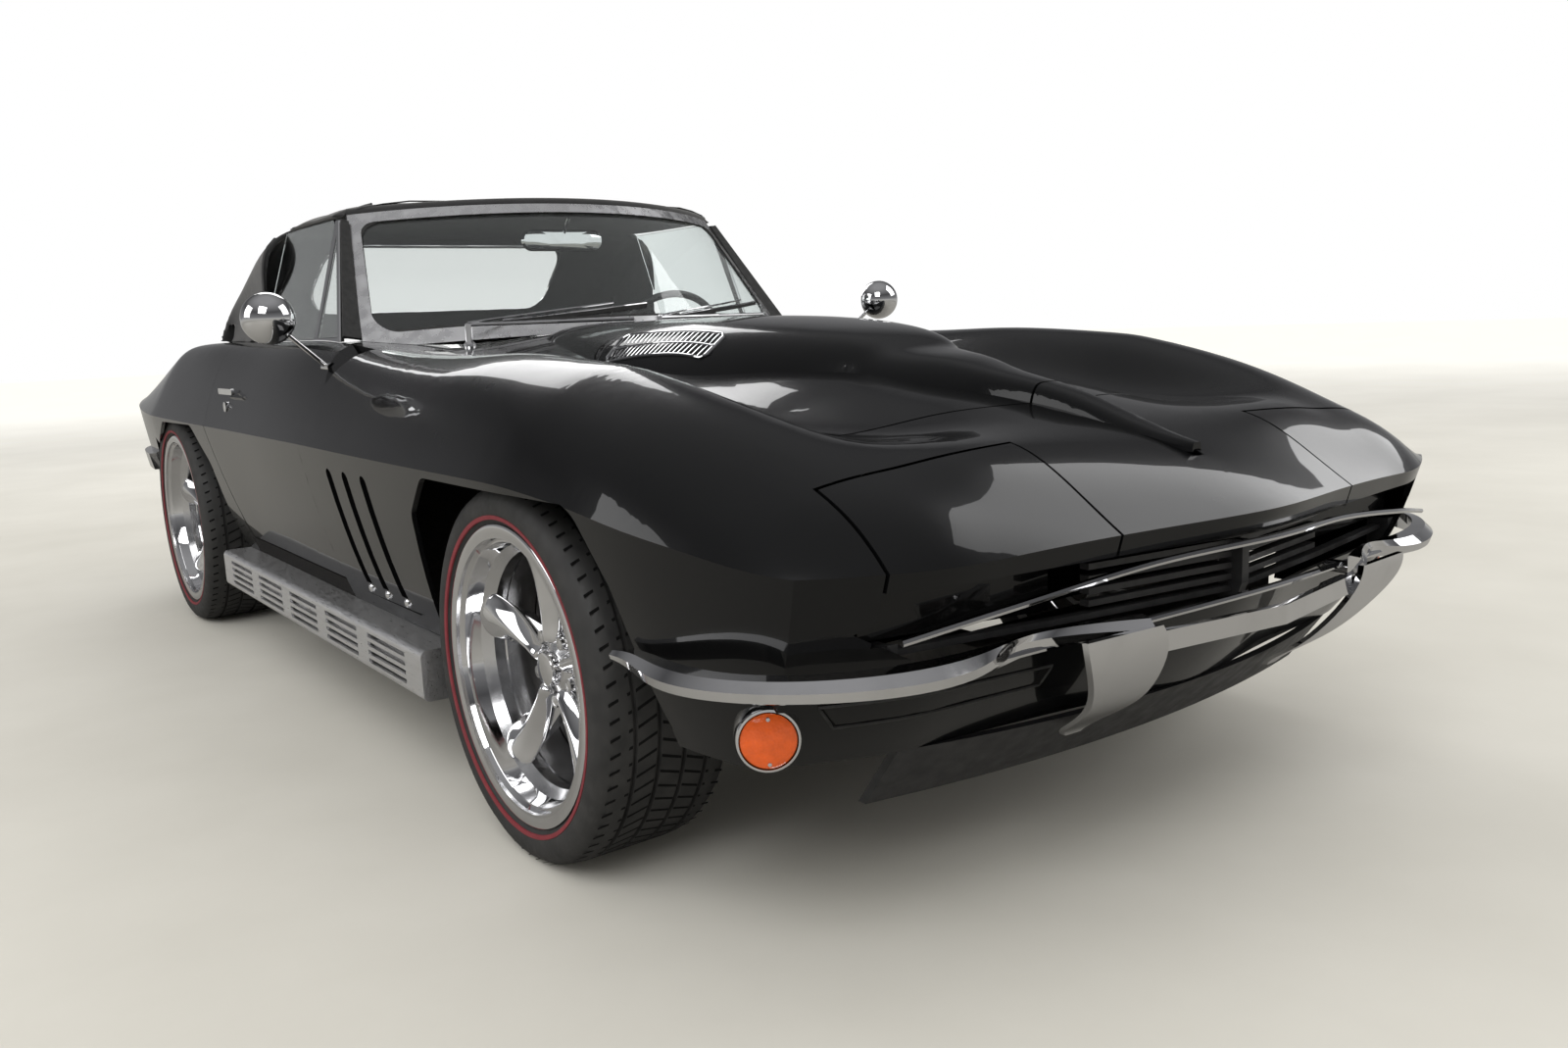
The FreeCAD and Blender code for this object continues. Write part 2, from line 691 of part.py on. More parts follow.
def rim(centre, bead, tyre_width):
    """A five-spoke wheel with its brake disc, drawn for the +X side."""
    half = tyre_width / 2 - rim_inset
    flange = bead + flange_height
    well = bead - well_depth
    outside = [(half, flange), (half - rim_wall, flange), (half - rim_wall, bead),
               (half - bead_width, bead), (half - 2 * bead_width, well),
               (bead_width - half, well), (rim_wall - half, bead), (rim_wall - half, flange),
               (-half, flange)]
    inside = [(-half, bead - rim_wall), (bead_width - half, well - rim_wall),
              (half - 2 * bead_width - rim_wall, well - rim_wall),
              (half - bead_width, bead - rim_wall), (half, bead - rim_wall / 2)]
    barrel = turned_profile(outside + inside, centre)
    hub = turned_profile([(hub_out, 0), (hub_out, hub_radius * hub_face_share),
                          (hub_out - spoke_depth / 4, hub_radius),
                          (hub_out - spoke_depth, spoke_root), (-disc_in + disc_width, spoke_root),
                          (-disc_in + disc_width, disc_radius), (-disc_in, disc_radius),
                          (-disc_in, hub_radius), (0, hub_radius), (0, 0)], centre)
    spokes = []
    lugs = []
    for index in range(spoke_count):
        turn = full_turn * index / spoke_count
        inner_reach = hub_radius * spoke_foot_share
        outer_reach = bead - rim_wall * spoke_seat_share
        outer_place = half - bead_width * spoke_lean_share
        sections = []
        for share in (0.0, 0.55, 1.0):
            reach = inner_reach + share * (outer_reach - inner_reach)
            width = spoke_root + share * (spoke_tip - spoke_root)
            face = hub_out - spoke_depth / 2 + share * share * (outer_place - hub_out + spoke_depth / 2)
            depth = spoke_depth * (1 - share * spoke_thinning_share)
            at = centre + Vector(0, 0, reach)
            sections.append(wire_of([at + Vector(face - depth, -width / 2, 0),
                                     at + Vector(face - depth * spoke_bevel_share, -width / 2, 0),
                                     at + Vector(face, -width * spoke_ridge_share, 0),
                                     at + Vector(face, width * spoke_ridge_share, 0),
                                     at + Vector(face - depth * spoke_bevel_share, width / 2, 0),
                                     at + Vector(face - depth, width / 2, 0)]))
        spoke = loft(sections)
        spoke.rotate(centre, X_AXIS, turn)
        spokes.append(spoke)
        foot = centre + Vector(hub_out - spoke_depth, 0, lug_circle_radius)
        lug = rod(foot, foot + Vector(spoke_depth / 2 + lug_height, 0, 0), lug_radius)
        lug.rotate(centre, X_AXIS, turn + full_turn / 2 / spoke_count)
        lugs.append(lug)
    return fuse([barrel, hub] + spokes + lugs)


def tyre(centre, bead, radius, width):
    """A hollow tyre seated on the rim's two beads."""
    half = width / 2
    seat = bead + seat_gap
    lip = half - rim_inset - rim_wall - seat_gap
    bulge = (bead + flange_height + radius) / 2
    shoulder = radius - shoulder_radius_drop
    edge = half * tyre_shoulder_share
    tread = half * tyre_tread_share
    inner_tread = half * tyre_inner_tread_share
    outer = [(-lip, seat), (-lip, bead + flange_height), (-half, bulge), (-edge, shoulder),
             (-tread, radius), (tread, radius), (edge, shoulder), (half, bulge),
             (lip, bead + flange_height), (lip, seat)]
    wall_in = [(lip - tyre_wall, seat), (half - tyre_wall, bulge), (inner_tread, radius - tyre_wall),
               (-inner_tread, radius - tyre_wall), (tyre_wall - half, bulge), (tyre_wall - lip, seat)]
    return turned_profile(outer + wall_in, centre)


def knuckle():
    """The upright that turns on its kingpin and carries a front wheel."""
    pin = front_centre - Vector(kingpin_inset, 0, 0)
    post = rod(pin - Vector(0, 0, kingpin_reach), pin + Vector(0, 0, kingpin_reach), kingpin_radius)
    hub_end = front_centre - Vector(disc_in + wheel_gap, 0, 0)
    carrier = rod(pin, hub_end, hub_radius)
    spindle = rod(pin, front_centre - Vector(wheel_gap, 0, 0), hub_bore_radius)
    arm = box(pin + Vector(-kingpin_radius / 2, 0, -kingpin_radius),
              pin + Vector(kingpin_radius / 2, kingpin_reach * steering_arm_share, 0))
    return fuse([post, carrier, spindle, arm])


# Chassis: stations of each side rail as place, side and height of its middle
rail_station_shares = (
    (-0.70, 0.40, 0.42), (-0.45, 0.40, 0.42), (0.16, 0.40, 0.36), (0.32, 0.64, 0.185),
    (0.815, 0.64, 0.185), (0.92, 0.50, 0.50), (1.25, 0.48, 0.50), (1.60, 0.48, 0.42),
)
rail_width = 62.0
rail_height = 70.0
low_rail_height = 60.0
cross_place_shares = (-0.62, 0.20, 0.80, 1.30)
cross_thickness = 50.0
jack_pad_radius = 35.0
jack_pad_height = 12.0
jack_pad_place_shares = (0.36, 0.76)


def rail_point(place):
    """The middle of the +X rail at a place along the car."""
    for near, far in zip(rail_station_shares, rail_station_shares[1:]):
        if near[0] <= place <= far[0]:
            share = (place - near[0]) / (far[0] - near[0])
            side = near[1] + share * (far[1] - near[1])
            height = near[2] + share * (far[2] - near[2])
            return Vector(wide(side), along(place), high(height))
    return None


def chassis_frame():
    pieces = []
    for name, side in SIDES:
        wires = []
        for place, side_share, height_share in rail_station_shares:
            middle = Vector(side * wide(side_share), along(place), high(height_share))
            half_high = rail_height / 2 if middle.z > sill_height else low_rail_height / 2
            corner = Vector(rail_width / 2, 0, half_high)
            across = Vector(rail_width / 2, 0, -half_high)
            wires.append(wire_of([middle - corner, middle + across, middle + corner, middle - across]))
        pieces.append(loft(wires))
        for place in jack_pad_place_shares:
            middle = rail_point(place)
            top = Vector(side * middle.x, middle.y, middle.z - low_rail_height / 2)
            foot = top - Vector(0, 0, jack_pad_height)
            pieces.append(rod(top + Vector(0, 0, seat_gap), foot, jack_pad_radius))
    for place in cross_place_shares:
        middle = rail_point(place)
        half_high = cross_thickness / 2
        pieces.append(box(Vector(-middle.x, middle.y - half_high, middle.z - half_high),
                          Vector(middle.x, middle.y + half_high, middle.z + half_high)))
    return fuse(pieces)


frame_rails = chassis_frame()
engine_mount_share = 0.12
engine_mount_half = 30.0
engine_front_share = 0.02
engine_rear_share = 0.335
engine_half_width = 250.0
engine_low = 330.0
engine_top = 740.0
engine_outline_shares = ((-0.6, 0), (0.6, 0), (1, 0.55), (0.8, 1), (-0.8, 1), (-1, 0.55))
engine_nose_share = 0.86
engine_nose_length_share = 0.15


def engine_block():
    """One closed mass standing for the engine, with the gearbox housing behind it."""
    front = along(engine_front_share)
    rear = along(engine_rear_share)
    height = engine_top - engine_low
    nose_rear = front + (rear - front) * engine_nose_length_share
    wires = []
    for y, scale in ((front, engine_nose_share), (nose_rear, 1.0), (rear - skin, 1.0)):
        half = engine_half_width * scale
        wires.append(wire_of([Vector(half * side, y, engine_low + height * rise)
                              for side, rise in engine_outline_shares]))
    mount = rail_point(engine_mount_share)
    low = mount.z + rail_height / 2 - skin / 4
    feet = box(Vector(-mount.x - skin, mount.y - engine_mount_half, low),
               Vector(mount.x + skin, mount.y + engine_mount_half, low + 2 * skin))
    return fuse([loft(wires), feet]).cut(frame_rails)


arm_radius = 16.0
arm_spread_share = 0.055
arm_inner_side = 386.0
shaft_radius = 22.0
diff_radius = 120.0
leaf_thickness = 34.0
leaf_width = 64.0
leaf_setback_share = 0.9
leaf_drop_share = 0.8
ball_joint_share = 1.2
arm_inner_height_shares = ((-1, 0.40), (1, 0.44))
trailing_mount_share = 0.84


def wishbone(apex, inner_height):
    spread = arm_spread_share * wheelbase
    arms = []
    for way in (-1, 1):
        root = Vector(arm_inner_side, apex.y + way * spread, inner_height)
        arms.append(rod(root, apex, arm_radius))
    arms.append(Part.makeSphere(arm_radius * ball_joint_share, apex))
    return arms


def front_suspension():
    """Upper and lower wishbones, anti-roll bar and track rods."""
    pieces = []
    pin = front_centre - Vector(kingpin_inset, 0, 0)
    joint_lift = Vector(0, 0, kingpin_reach + arm_radius * ball_joint_share + seat_gap)
    post_half = Vector(0, 0, kingpin_reach + seat_gap)
    post_room = rod(pin - post_half, pin + post_half, kingpin_radius + seat_gap)
    for name, side in SIDES:
        arms = []
        for way, height_share in arm_inner_height_shares:
            arm = fuse(wishbone(pin + joint_lift * way, high(height_share)))
            arms.append(arm.cut(post_room))
        pieces.extend(mirrored(arm, side).cut(frame_rails) for arm in arms)
    return Part.makeCompound(pieces)


hub_carrier_in = 95.0


def rear_suspension():
    """Differential housing, half shafts, leaf spring, trailing arms and hub carriers."""
    centre = Vector(0, rear_centre.y, rear_centre.z)
    housing = Part.makeSphere(diff_radius, centre)
    pieces = [housing]
    hub_end = rear_centre - Vector(disc_in + wheel_gap, 0, 0)
    for name, side in SIDES:
        shaft = rod(centre, hub_end - Vector(hub_carrier_in / 2, 0, 0), shaft_radius)
        carrier = rod(hub_end - Vector(hub_carrier_in, 0, 0), hub_end, hub_radius)
        spindle = rod(hub_end - Vector(hub_carrier_in, 0, 0), rear_centre - Vector(wheel_gap, 0, 0),
                      hub_bore_radius)
        mount = rail_point(trailing_mount_share) + Vector(-rail_width / 2 - shaft_radius, 0, rail_height)
        trailing = rod(hub_end - Vector(hub_carrier_in - shaft_radius, 0, 0), mount, shaft_radius)
        pieces.extend(mirrored(piece, side) for piece in (shaft, carrier, spindle, trailing))
    leaf_y = rear_centre.y + diff_radius * leaf_setback_share
    reach = hub_end.x - hub_carrier_in
    low = rear_centre.z - diff_radius * leaf_drop_share
    leaf = loft([wire_of([Vector(x, leaf_y - leaf_width / 2, z), Vector(x, leaf_y + leaf_width / 2, z),
                          Vector(x, leaf_y + leaf_width / 2, z + leaf_thickness),
                          Vector(x, leaf_y - leaf_width / 2, z + leaf_thickness)])
                 for x, z in ((-reach, low - leaf_thickness), (0, low), (reach, low - leaf_thickness))])
    pieces.append(leaf)
    return fuse(pieces).cut(frame_rails)


# Windshield, soft top and glass
frame_base_side = 640.0
frame_base_height = 897.0
frame_base_corner_share = 0.483
frame_base_centre_share = 0.396
frame_top_side = 566.0
frame_top_height = 1222.0
frame_top_corner_share = 0.585
frame_top_centre_share = 0.498
frame_top_crown = 20.0
frame_width = 24.0
frame_depth = 22.0
frame_inner_corner = 42.0
glass_thickness = 6.0


def screen_arc(share, inset, setback):
    """A cross arc of the windshield at a share of its height."""
    side = frame_base_side + share * (frame_top_side - frame_base_side) - inset
    height = frame_base_height + share * (frame_top_height - frame_base_height)
    corner = frame_base_corner_share + share * (frame_top_corner_share - frame_base_corner_share)
    centre = frame_base_centre_share + share * (frame_top_centre_share - frame_base_centre_share)
    crown = frame_top_crown
    return Part.Arc(Vector(-side, along(corner) + setback, height),
                    Vector(0, along(centre) + setback, height + crown),
                    Vector(side, along(corner) + setback, height)).toShape()


def screen_band(low_share, high_share, inset, front, back):
    """A curved slab of the windshield between two shares of its height."""
    low = screen_arc(low_share, inset, front)
    top = screen_arc(high_share, inset, front)
    return Part.makeRuledSurface(low, top).extrude(Vector(0, back - front, 0))


frame_width_share = frame_width / (frame_top_height - frame_base_height)


def screen_opening(margin):
    """The outline of the glass seen from ahead, its corners rounded, as a prism along Y."""
    rise = frame_top_height - frame_base_height
    arcs = []
    for height in (frame_base_height + frame_width / 2 + margin, frame_top_height - frame_width - margin):
        share = (height - frame_base_height) / rise
        reach = frame_base_side + share * (frame_top_side - frame_base_side) - frame_width - margin
        arcs.append(Part.Arc(Vector(-reach, front_axle_y, height),
                             Vector(0, front_axle_y, height + frame_top_crown),
                             Vector(reach, front_axle_y, height)).toShape())
    opening = Part.makeRuledSurface(arcs[0], arcs[1]).extrude(Vector(0, wheelbase, 0))
    uprights = [edge for edge in opening.Edges
                if edge.BoundBox.XLength < seat_gap and edge.BoundBox.ZLength < seat_gap]
    return opening.makeFillet(frame_inner_corner, uprights)


def windshield_frame():
    slab_all = screen_band(-frame_width_share, 1.0, 0, -frame_depth / 2, frame_depth / 2)
    return slab_all.cut([screen_opening(0), grown])


def windshield_glass():
    pane = screen_band(0, 1.0, 0, -glass_thickness / 2, glass_thickness / 2)
    return pane.common(screen_opening(seat_gap))


# Soft top: each row gives the place at the side and at the middle, the sides of belt and roof
# edge as shares of the half width, and the heights of roof edge, quarter and middle as shares
# of the roof height.
top_thickness = 12.0
top_row_shares = (
    (0.468, 0.468, 0.792, 0.662, 0.966, 0.980, 0.985),
    (0.585, 0.585, 0.792, 0.667, 0.971, 0.993, 0.998),
    (0.690, 0.690, 0.792, 0.679, 0.968, 0.994, 1.000),
    (0.782, 0.782, 0.792, 0.690, 0.953, 0.984, 0.990),
    (0.838, 0.838, 0.792, 0.696, 0.921, 0.953, 0.958),
    (0.894, 0.904, 0.792, 0.713, 0.850, 0.874, 0.879),
    (0.930, 0.946, 0.790, 0.745, 0.775, 0.791, 0.795),
    (0.946, 0.970, 0.786, 0.770, 0.711, 0.711, 0.711),
)
top_base_height = 900.0
top_header_share = 1.4
header_gap = 6.0
hip_bulge_share = 0.012
edge_sweep_shares = (0.3, 0.85)
top_taper_start_share = 0.6
top_taper_run_share = 0.35
quarter_side_share = 0.55
rear_window_low = 985.0
rear_window_high = 1190.0
rear_window_half = 430.0
rear_window_corner = 70.0
rear_window_start_share = 0.80
rear_window_run_share = 0.3
rear_window_taper_share = 0.94
side_window_front_share = 0.40
side_window_rear_shares = (0.790, 0.772)
side_window_inner_share = 0.55
door_glass_top = 1212.0


def top_dome(wall):
    """The closed form of the raised top, drawn in by a wall."""
    rows = []
    for side_place, centre_place, belt, edge, edge_high, quarter_high, ridge_high in top_row_shares:
        belt_side = wide(belt) - wall
        edge_side = wide(edge) - wall
        base = top_base_height - wall / 2
        squeeze = 1 - wall / (roof_height - base)
        heights = [base + (roof_height * share - base) * squeeze
                   for share in (edge_high, quarter_high, ridge_high)]
        hip_side = (belt_side + edge_side) / 2 + wide(hip_bulge_share)
        hip_height = (base + heights[0]) / 2
        near = along(side_place)
        far = along(centre_place)
        last = side_place == top_row_shares[-1][0]
        half = [Vector(0, far, heights[2] if not last else base),
                Vector(edge_side * quarter_side_share, far + (near - far) * edge_sweep_shares[0],
                       heights[1] if not last else base),
                Vector(edge_side, far + (near - far) * edge_sweep_shares[1],
                       heights[0] if not last else base),
                Vector(hip_side, near, hip_height if not last else base),
                Vector(belt_side, near, base)]
        first = side_place == top_row_shares[0][0]
        for point in half:
            if first:
                point.y -= wall
            if side_place > top_taper_start_share:
                point.y -= wall * (side_place - top_taper_start_share) / top_taper_run_share
        rows.append([Vector(-p.x, p.y, p.z) for p in reversed(half[1:])] + half)
    row_places = [(row[0] - top_row_shares[0][0]) for row in top_row_shares]
    row_places = [place / row_places[-1] for place in row_places]
    column_places = [-1.0, -0.75, -0.5, -0.25, 0.0, 0.25, 0.5, 0.75, 1.0]
    cover = skin_face(rows, row_places, column_places)
    front = []
    low = []
    for edge in cover.Edges:
        bounds = edge.BoundBox
        if bounds.ZLength < skin / 10:
            low.append(edge)
        else:
            front.append(edge)
    front_closing = Part.makeLine(rows[0][0], rows[0][-1])
    front_face = Part.Face(Part.Wire(Part.__sortEdges__(front + [front_closing])))
    low_face = Part.Face(Part.Wire(Part.__sortEdges__(low + [front_closing])))
    return solid_of([cover, front_face, low_face])


def rear_window_cut(inset):
    half = rear_window_half - inset
    low = rear_window_low + inset
    top = rear_window_high - inset
    half_top = half * rear_window_taper_share
    points = [Vector(-half, 0, low), Vector(half, 0, low), Vector(half_top, 0, top),
              Vector(-half_top, 0, top)]
    start = Vector(0, along(rear_window_start_share), 0)
    wire = rounded_wire([point + start for point in points], rear_window_corner)
    return prism(wire, Vector(0, wheelbase * rear_window_run_share, 0))


def side_window_cut(side):
    """The open side of the raised top over a door."""
    low = top_base_height - overrun
    top = door_glass_top + panel_gap
    front = along(side_window_front_share)
    rear_low, rear_top = [along(share) for share in side_window_rear_shares]
    points = [Vector(0, front, low), Vector(0, rear_low, low), Vector(0, rear_top, top),
              Vector(0, front, top)]
    start = Vector(side * wide(side_window_inner_share), 0, 0)
    return prism(wire_of([point + start for point in points]), Vector(side * half_width, 0, 0))


outer_top = top_dome(0.0)
inner_top = top_dome(top_thickness)


def soft_top():
    shape = outer_top.cut(inner_top)
    frame_room = screen_band(-frame_width_share, top_header_share, -overrun,
                             -wheelbase, frame_depth / 2 + header_gap)
    bottom = slab(-overall_length, overall_length, top=top_base_height + seat_gap)
    cuts = [frame_room, rear_window_cut(0), bottom] + [side_window_cut(side) for name, side in SIDES]
    shape = shape.cut(cuts).cut(block.translated(Vector(0, 0, seat_gap)))
    pieces = shape.cut([door_cut(side, panel_gap) for name, side in SIDES]).Solids
    return max(pieces, key=lambda piece: piece.Volume)


def rear_window():
    pane = outer_top.cut(inner_top).common(rear_window_cut(seat_gap))
    return pane


glass_base_side = 689.0
glass_top_side = 592.0
vent_bar = 12.0


def side_pane(side, outline, thickness):
    """A flat pane in the leaning plane of the side glass, from a side-view outline."""
    wires = []
    for shift in (0, thickness):
        points = []
        for place, share in outline:
            lean = glass_base_side + share * (glass_top_side - glass_base_side)
            height = belt_height + share * (door_glass_top - belt_height)
            points.append(Vector(side * (lean - shift), along(place), height))
        wires.append(wire_of(points))
    return loft(wires)


door_glass_shares = ((0.572, -0.10), (0.770, -0.10), (0.768, 1.0), (0.592, 1.0), (0.576, 0.9))
vent_glass_shares = ((0.497, 0.02), (0.563, 0.02), (0.571, 0.86))
vent_frame_shares = ((0.486, -0.02), (0.571, -0.02), (0.585, 0.985), (0.575, 0.985))


def door_glass(side):
    frame = mirrored(vent_frame(), side)
    main = side_pane(side, door_glass_shares, glass_thickness).cut([grown, frame])
    vent = side_pane(side, vent_glass_shares, glass_thickness).cut([grown, frame])
    return Part.makeCompound([main, vent])


mirror_place_share = 0.405
mirror_side = 905.0
mirror_height = 952.0
mirror_radius = 58.0
mirror_arm_radius = 5.5
handle_place_share = 0.690
handle_height = 772.0
handle_length = 150.0
handle_radius = 8.0
button_radius = 14.0
mirror_foot_height_share = 0.93
mirror_face_share = 0.35
mirror_foot_shares = (0.8, 0.5)
handle_post_share = 0.36
handle_post_reach_share = 2.5
handle_corner_share = 0.9


def surface_side(y, z):
    """How far out the body's side reaches at a place and height."""
    line = Part.makeLine(Vector(0, y, z), Vector(half_width + overrun, y, z))
    cross = block.common(line)
    return cross.BoundBox.XMax


def vent_frame():
    frame = side_pane(1, vent_frame_shares, vent_bar)
    hole = side_pane(1, vent_glass_shares, vent_bar * 2)
    hole = hole.translated(Vector(vent_bar / 2, 0, 0))
    return frame.cut([hole, grown])


def door_trim(side):
    """Vent window frame, mirror on its arm, handle and push button."""
    pieces = [vent_frame()]
    y = along(mirror_place_share)
    foot_height = high(mirror_foot_height_share)
    foot_side = surface_side(y + overrun, foot_height)
    foot = Vector(foot_side - mirror_arm_radius, y + overrun, foot_height)
    head = Vector(mirror_side, y, mirror_height)
    arm = rod(foot, head, mirror_arm_radius)
    bowl = Part.makeSphere(mirror_radius, head)
    back = box(head + Vector(-mirror_radius, mirror_radius * mirror_face_share, -mirror_radius),
               head + Vector(mirror_radius, mirror_radius, mirror_radius))
    behind, ahead = [Vector(0, overrun * share, 0) for share in mirror_foot_shares]
    base = rod(foot - behind, foot + ahead, 2 * mirror_arm_radius)
    mirror = fuse([arm, bowl.cut(back), base])
    pieces.append(mirror.cut(grown))
    y = along(handle_place_share)
    out = surface_side(y, handle_height)
    low = Vector(out + 2 * handle_radius, y - handle_length / 2, handle_height - handle_radius)
    high_corner = low + Vector(0, handle_length, 2 * handle_radius)
    outline = [low, Vector(low.x, high_corner.y, low.z), high_corner, Vector(low.x, low.y, high_corner.z)]
    grip = prism(rounded_wire(outline, handle_radius * handle_corner_share), Vector(handle_radius, 0, 0))
    posts = []
    for way in (-1, 1):
        post_y = y + way * handle_length * handle_post_share
        posts.append(box(Vector(out - handle_radius, post_y - handle_radius,
                                handle_height - handle_radius / 2),
                         Vector(out + handle_post_reach_share * handle_radius, post_y + handle_radius,
                                handle_height + handle_radius / 2)))
    handle = fuse([grip] + posts).cut(grown)
    pieces.append(handle)
    low = handle_height - 3 * button_radius
    out = surface_side(y, low)
    button = rod(Vector(out - button_radius, y, low), Vector(out + button_radius / 2, y, low),
                 button_radius)
    pieces.append(button.cut(grown))
    return Part.makeCompound([mirrored(piece, side) for piece in pieces])


# Cabin fittings
seat_side = 375.0
seat_width = 430.0
seat_front_share = 0.575
seat_rear_share = 0.765
cushion_height = 150.0
back_height = 470.0
back_thickness = 120.0
back_lean = 14.0
seat_corner = 45.0
seat_back_shares = ((0, 1.0), (0.7, 0.96), (1, 0.72))
seat_back_taper_share = 0.4
dash_low = 640.0
dash_top = 855.0
dash_front_share = 0.445
dash_rear_share = 0.512
wheel_radius = 203.0
wheel_grip = 11.0
wheel_tilt = 20.0
wheel_place_share = 0.570
wheel_height = 803.0
column_radius = 22.0
column_length_share = 1.6
wheel_spoke_angles = (90, 210, 330)
wheel_spoke_share = 0.7
gauge_bay_share = 0.36


def seat(side):
    """A bucket seat as a plain closed cushion and back."""
    x = side * seat_side
    front = along(seat_front_share)
    rear = along(seat_rear_share)
    low = cabin_floor + seat_gap
    top = cabin_floor + cushion_height
    half = seat_width / 2
    plan = rounded_wire([Vector(x - half, front, low), Vector(x + half, front, low),
                         Vector(x + half, rear, low), Vector(x - half, rear, low)], seat_corner)
    cushion = prism(plan, Vector(0, 0, top - low))
    lean = math.tan(math.radians(back_lean)) * back_height
    foot = top + seat_gap
    wires = []
    for rise, scale in seat_back_shares:
        height = back_height * rise
        shift = lean * height / back_height
        y = rear - back_thickness - lean + shift
        half_here = half * scale
        depth = back_thickness * (1 - seat_back_taper_share * (1 - scale))
        wires.append(rounded_wire([Vector(x - half_here, y, foot + height),
                                   Vector(x + half_here, y, foot + height),
                                   Vector(x + half_here, y + depth, foot + height),
                                   Vector(x - half_here, y + depth, foot + height)], seat_corner))
    return Part.makeCompound([cushion, loft(wires)])


def dashboard():
    front = along(dash_front_share)
    rear = along(dash_rear_share)
    span = cabin_half_width - seat_gap
    points = [Vector(-span, front, dash_low + skin), Vector(-span, rear - 3 * skin, dash_low),
              Vector(-span, rear, dash_low + 4 * skin), Vector(-span, rear - skin, dash_top - skin),
              Vector(-span, rear - 3 * skin, dash_top), Vector(-span, front, dash_top)]
    panel = prism(wire_of(points), Vector(2 * span, 0, 0))
    bays = []
    for name, side in SIDES:
        centre = Vector(side * seat_side, rear - 3 * skin, (dash_low + dash_top) / 2 + skin)
        bays.append(rod(centre, centre + Vector(0, 4 * skin, 0), (dash_top - dash_low) * gauge_bay_share))
    console = box(Vector(-tunnel_half_width + skin, rear - 6 * skin, tunnel_height + seat_gap),
                  Vector(tunnel_half_width - skin, rear + skin, dash_low + skin))
    sleeve = steering_column(seat_gap)
    return fuse([panel.cut(bays), console]).cut(sleeve)


def steering_wheel():
    centre = Vector(seat_side, along(wheel_place_share), wheel_height)
    rim_ring = Part.makeTorus(wheel_radius, wheel_grip, centre, Z_AXIS)
    hub = rod(centre - Vector(0, 0, 3 * column_radius), centre, 2 * column_radius)
    pieces = [rim_ring, hub]
    for turn in wheel_spoke_angles:
        angle = math.radians(turn)
        way = Vector(math.cos(angle), math.sin(angle), 0)
        pieces.append(rod(centre - Vector(0, 0, column_radius), centre + way * wheel_radius,
                          wheel_grip * wheel_spoke_share))
    wheel = fuse(pieces)
    wheel.rotate(centre, X_AXIS, wheel_tilt - 90)
    return wheel


def steering_column(gap=0.0):
    centre = Vector(seat_side, along(wheel_place_share), wheel_height)
    tilt = math.radians(wheel_tilt)
    way = Vector(0, -math.cos(tilt), -math.sin(tilt))
    start = centre + way * (3 * column_radius + seat_gap)
    end = centre + way * (wheel_radius * column_length_share)
    return rod(start, end, column_radius + gap)


# Nose fittings
grille_bar_count = 5
grille_bar_height = 9.0
grille_bar_depth = 16.0
grille_post_share = 1.5
grille_span_share = 0.72
grille_setback = 62.0
bumper_height = 34.0
bumper_depth = 32.0
bumper_profile_shares = ((0.0, -0.5), (0.5, -0.5), (0.88, -0.36), (1.0, 0.04), (0.62, 0.42), (0.0, 0.5))
bumper_middle_height = 450.0
bumper_path_shares = ((-0.407, 0.962, 0.982), (-0.560, 0.988, 0.990), (-0.700, 0.975, 1.0),
                      (-0.795, 0.900, 1.0), (-0.885, 0.634, 1.0), (-0.960, 0.319, 1.03))
guard_rows = (
    (468.0, 267.0, 415.0, -2188.0),
    (435.0, 252.0, 405.0, -2186.0),
    (400.0, 240.0, 380.0, -2169.0),
    (356.0, 226.0, 345.0, -2136.0),
    (308.0, 226.0, 315.0, -2078.0),
    (272.0, 250.0, 282.0, -2030.0),
)
guard_thickness = 10.0
guard_sweep_share = 0.5
centre_bar_low = 424.0
centre_bar_height = 30.0
centre_bar_setback_share = 0.75
blade_end_share = 0.45
bumper_iron_radius = 12.0
turn_lamp_radius = 38.0
turn_lamp_depth = 16.0
turn_lamp_side = 758.6
turn_lamp_height = 364.0
turn_lamp_share = -0.679
turn_lamp_degrees = 32.0
turn_lamp_angle = math.radians(turn_lamp_degrees)
chin_half_width = 560.0
chin_low = 200.0
chin_thickness = 16.0
chin_top_shares = (-0.717, -0.809)
chin_low_shares = (-0.636, -0.700)


def nose_line(side_x):
    """Y of the nose edge at a distance from the middle."""
    row = half_row(body_row_shares[0])
    for near, far in zip(row, row[1:]):
        if near.x <= side_x <= far.x:
            share = (side_x - near.x) / (far.x - near.x)
            return near.y + share * (far.y - near.y)
    return row[-1].y


def grille():
    """Horizontal bars that follow the nose, on upright end posts."""
    pieces = []
    span = grille_span_share * half_width
    pitch = (pod_lip_height - grille_low) / (grille_bar_count + 1)
    for index in range(grille_bar_count):
        z = grille_low + pitch * (index + 0.5)
        sides = [-span, -span / 2, 0, span / 2, span]
        wires = []
        for x in sides:
            y = nose_line(abs(x)) + grille_setback
            low = Vector(x, y, z)
            wires.append(wire_of([low, low + Vector(0, grille_bar_depth, 0),
                                  low + Vector(0, grille_bar_depth, grille_bar_height),
                                  low + Vector(0, 0, grille_bar_height)]))
        pieces.append(loft(wires))
    for x in (-span, 0, span):
        y = nose_line(abs(x)) + grille_setback
        half = grille_bar_height
        pieces.append(box(Vector(x - half, y - grille_bar_depth, grille_low - 2 * skin),
                          Vector(x + half, y + grille_bar_depth * grille_post_share,
                                 grille_low + pitch * grille_bar_count)))
    shape = fuse(pieces).common(liner).cut([pod_cut(side, panel_gap) for name, side in SIDES])
    return Part.makeCompound([piece for piece in shape.Solids if piece.BoundBox.ZMin < grille_low])


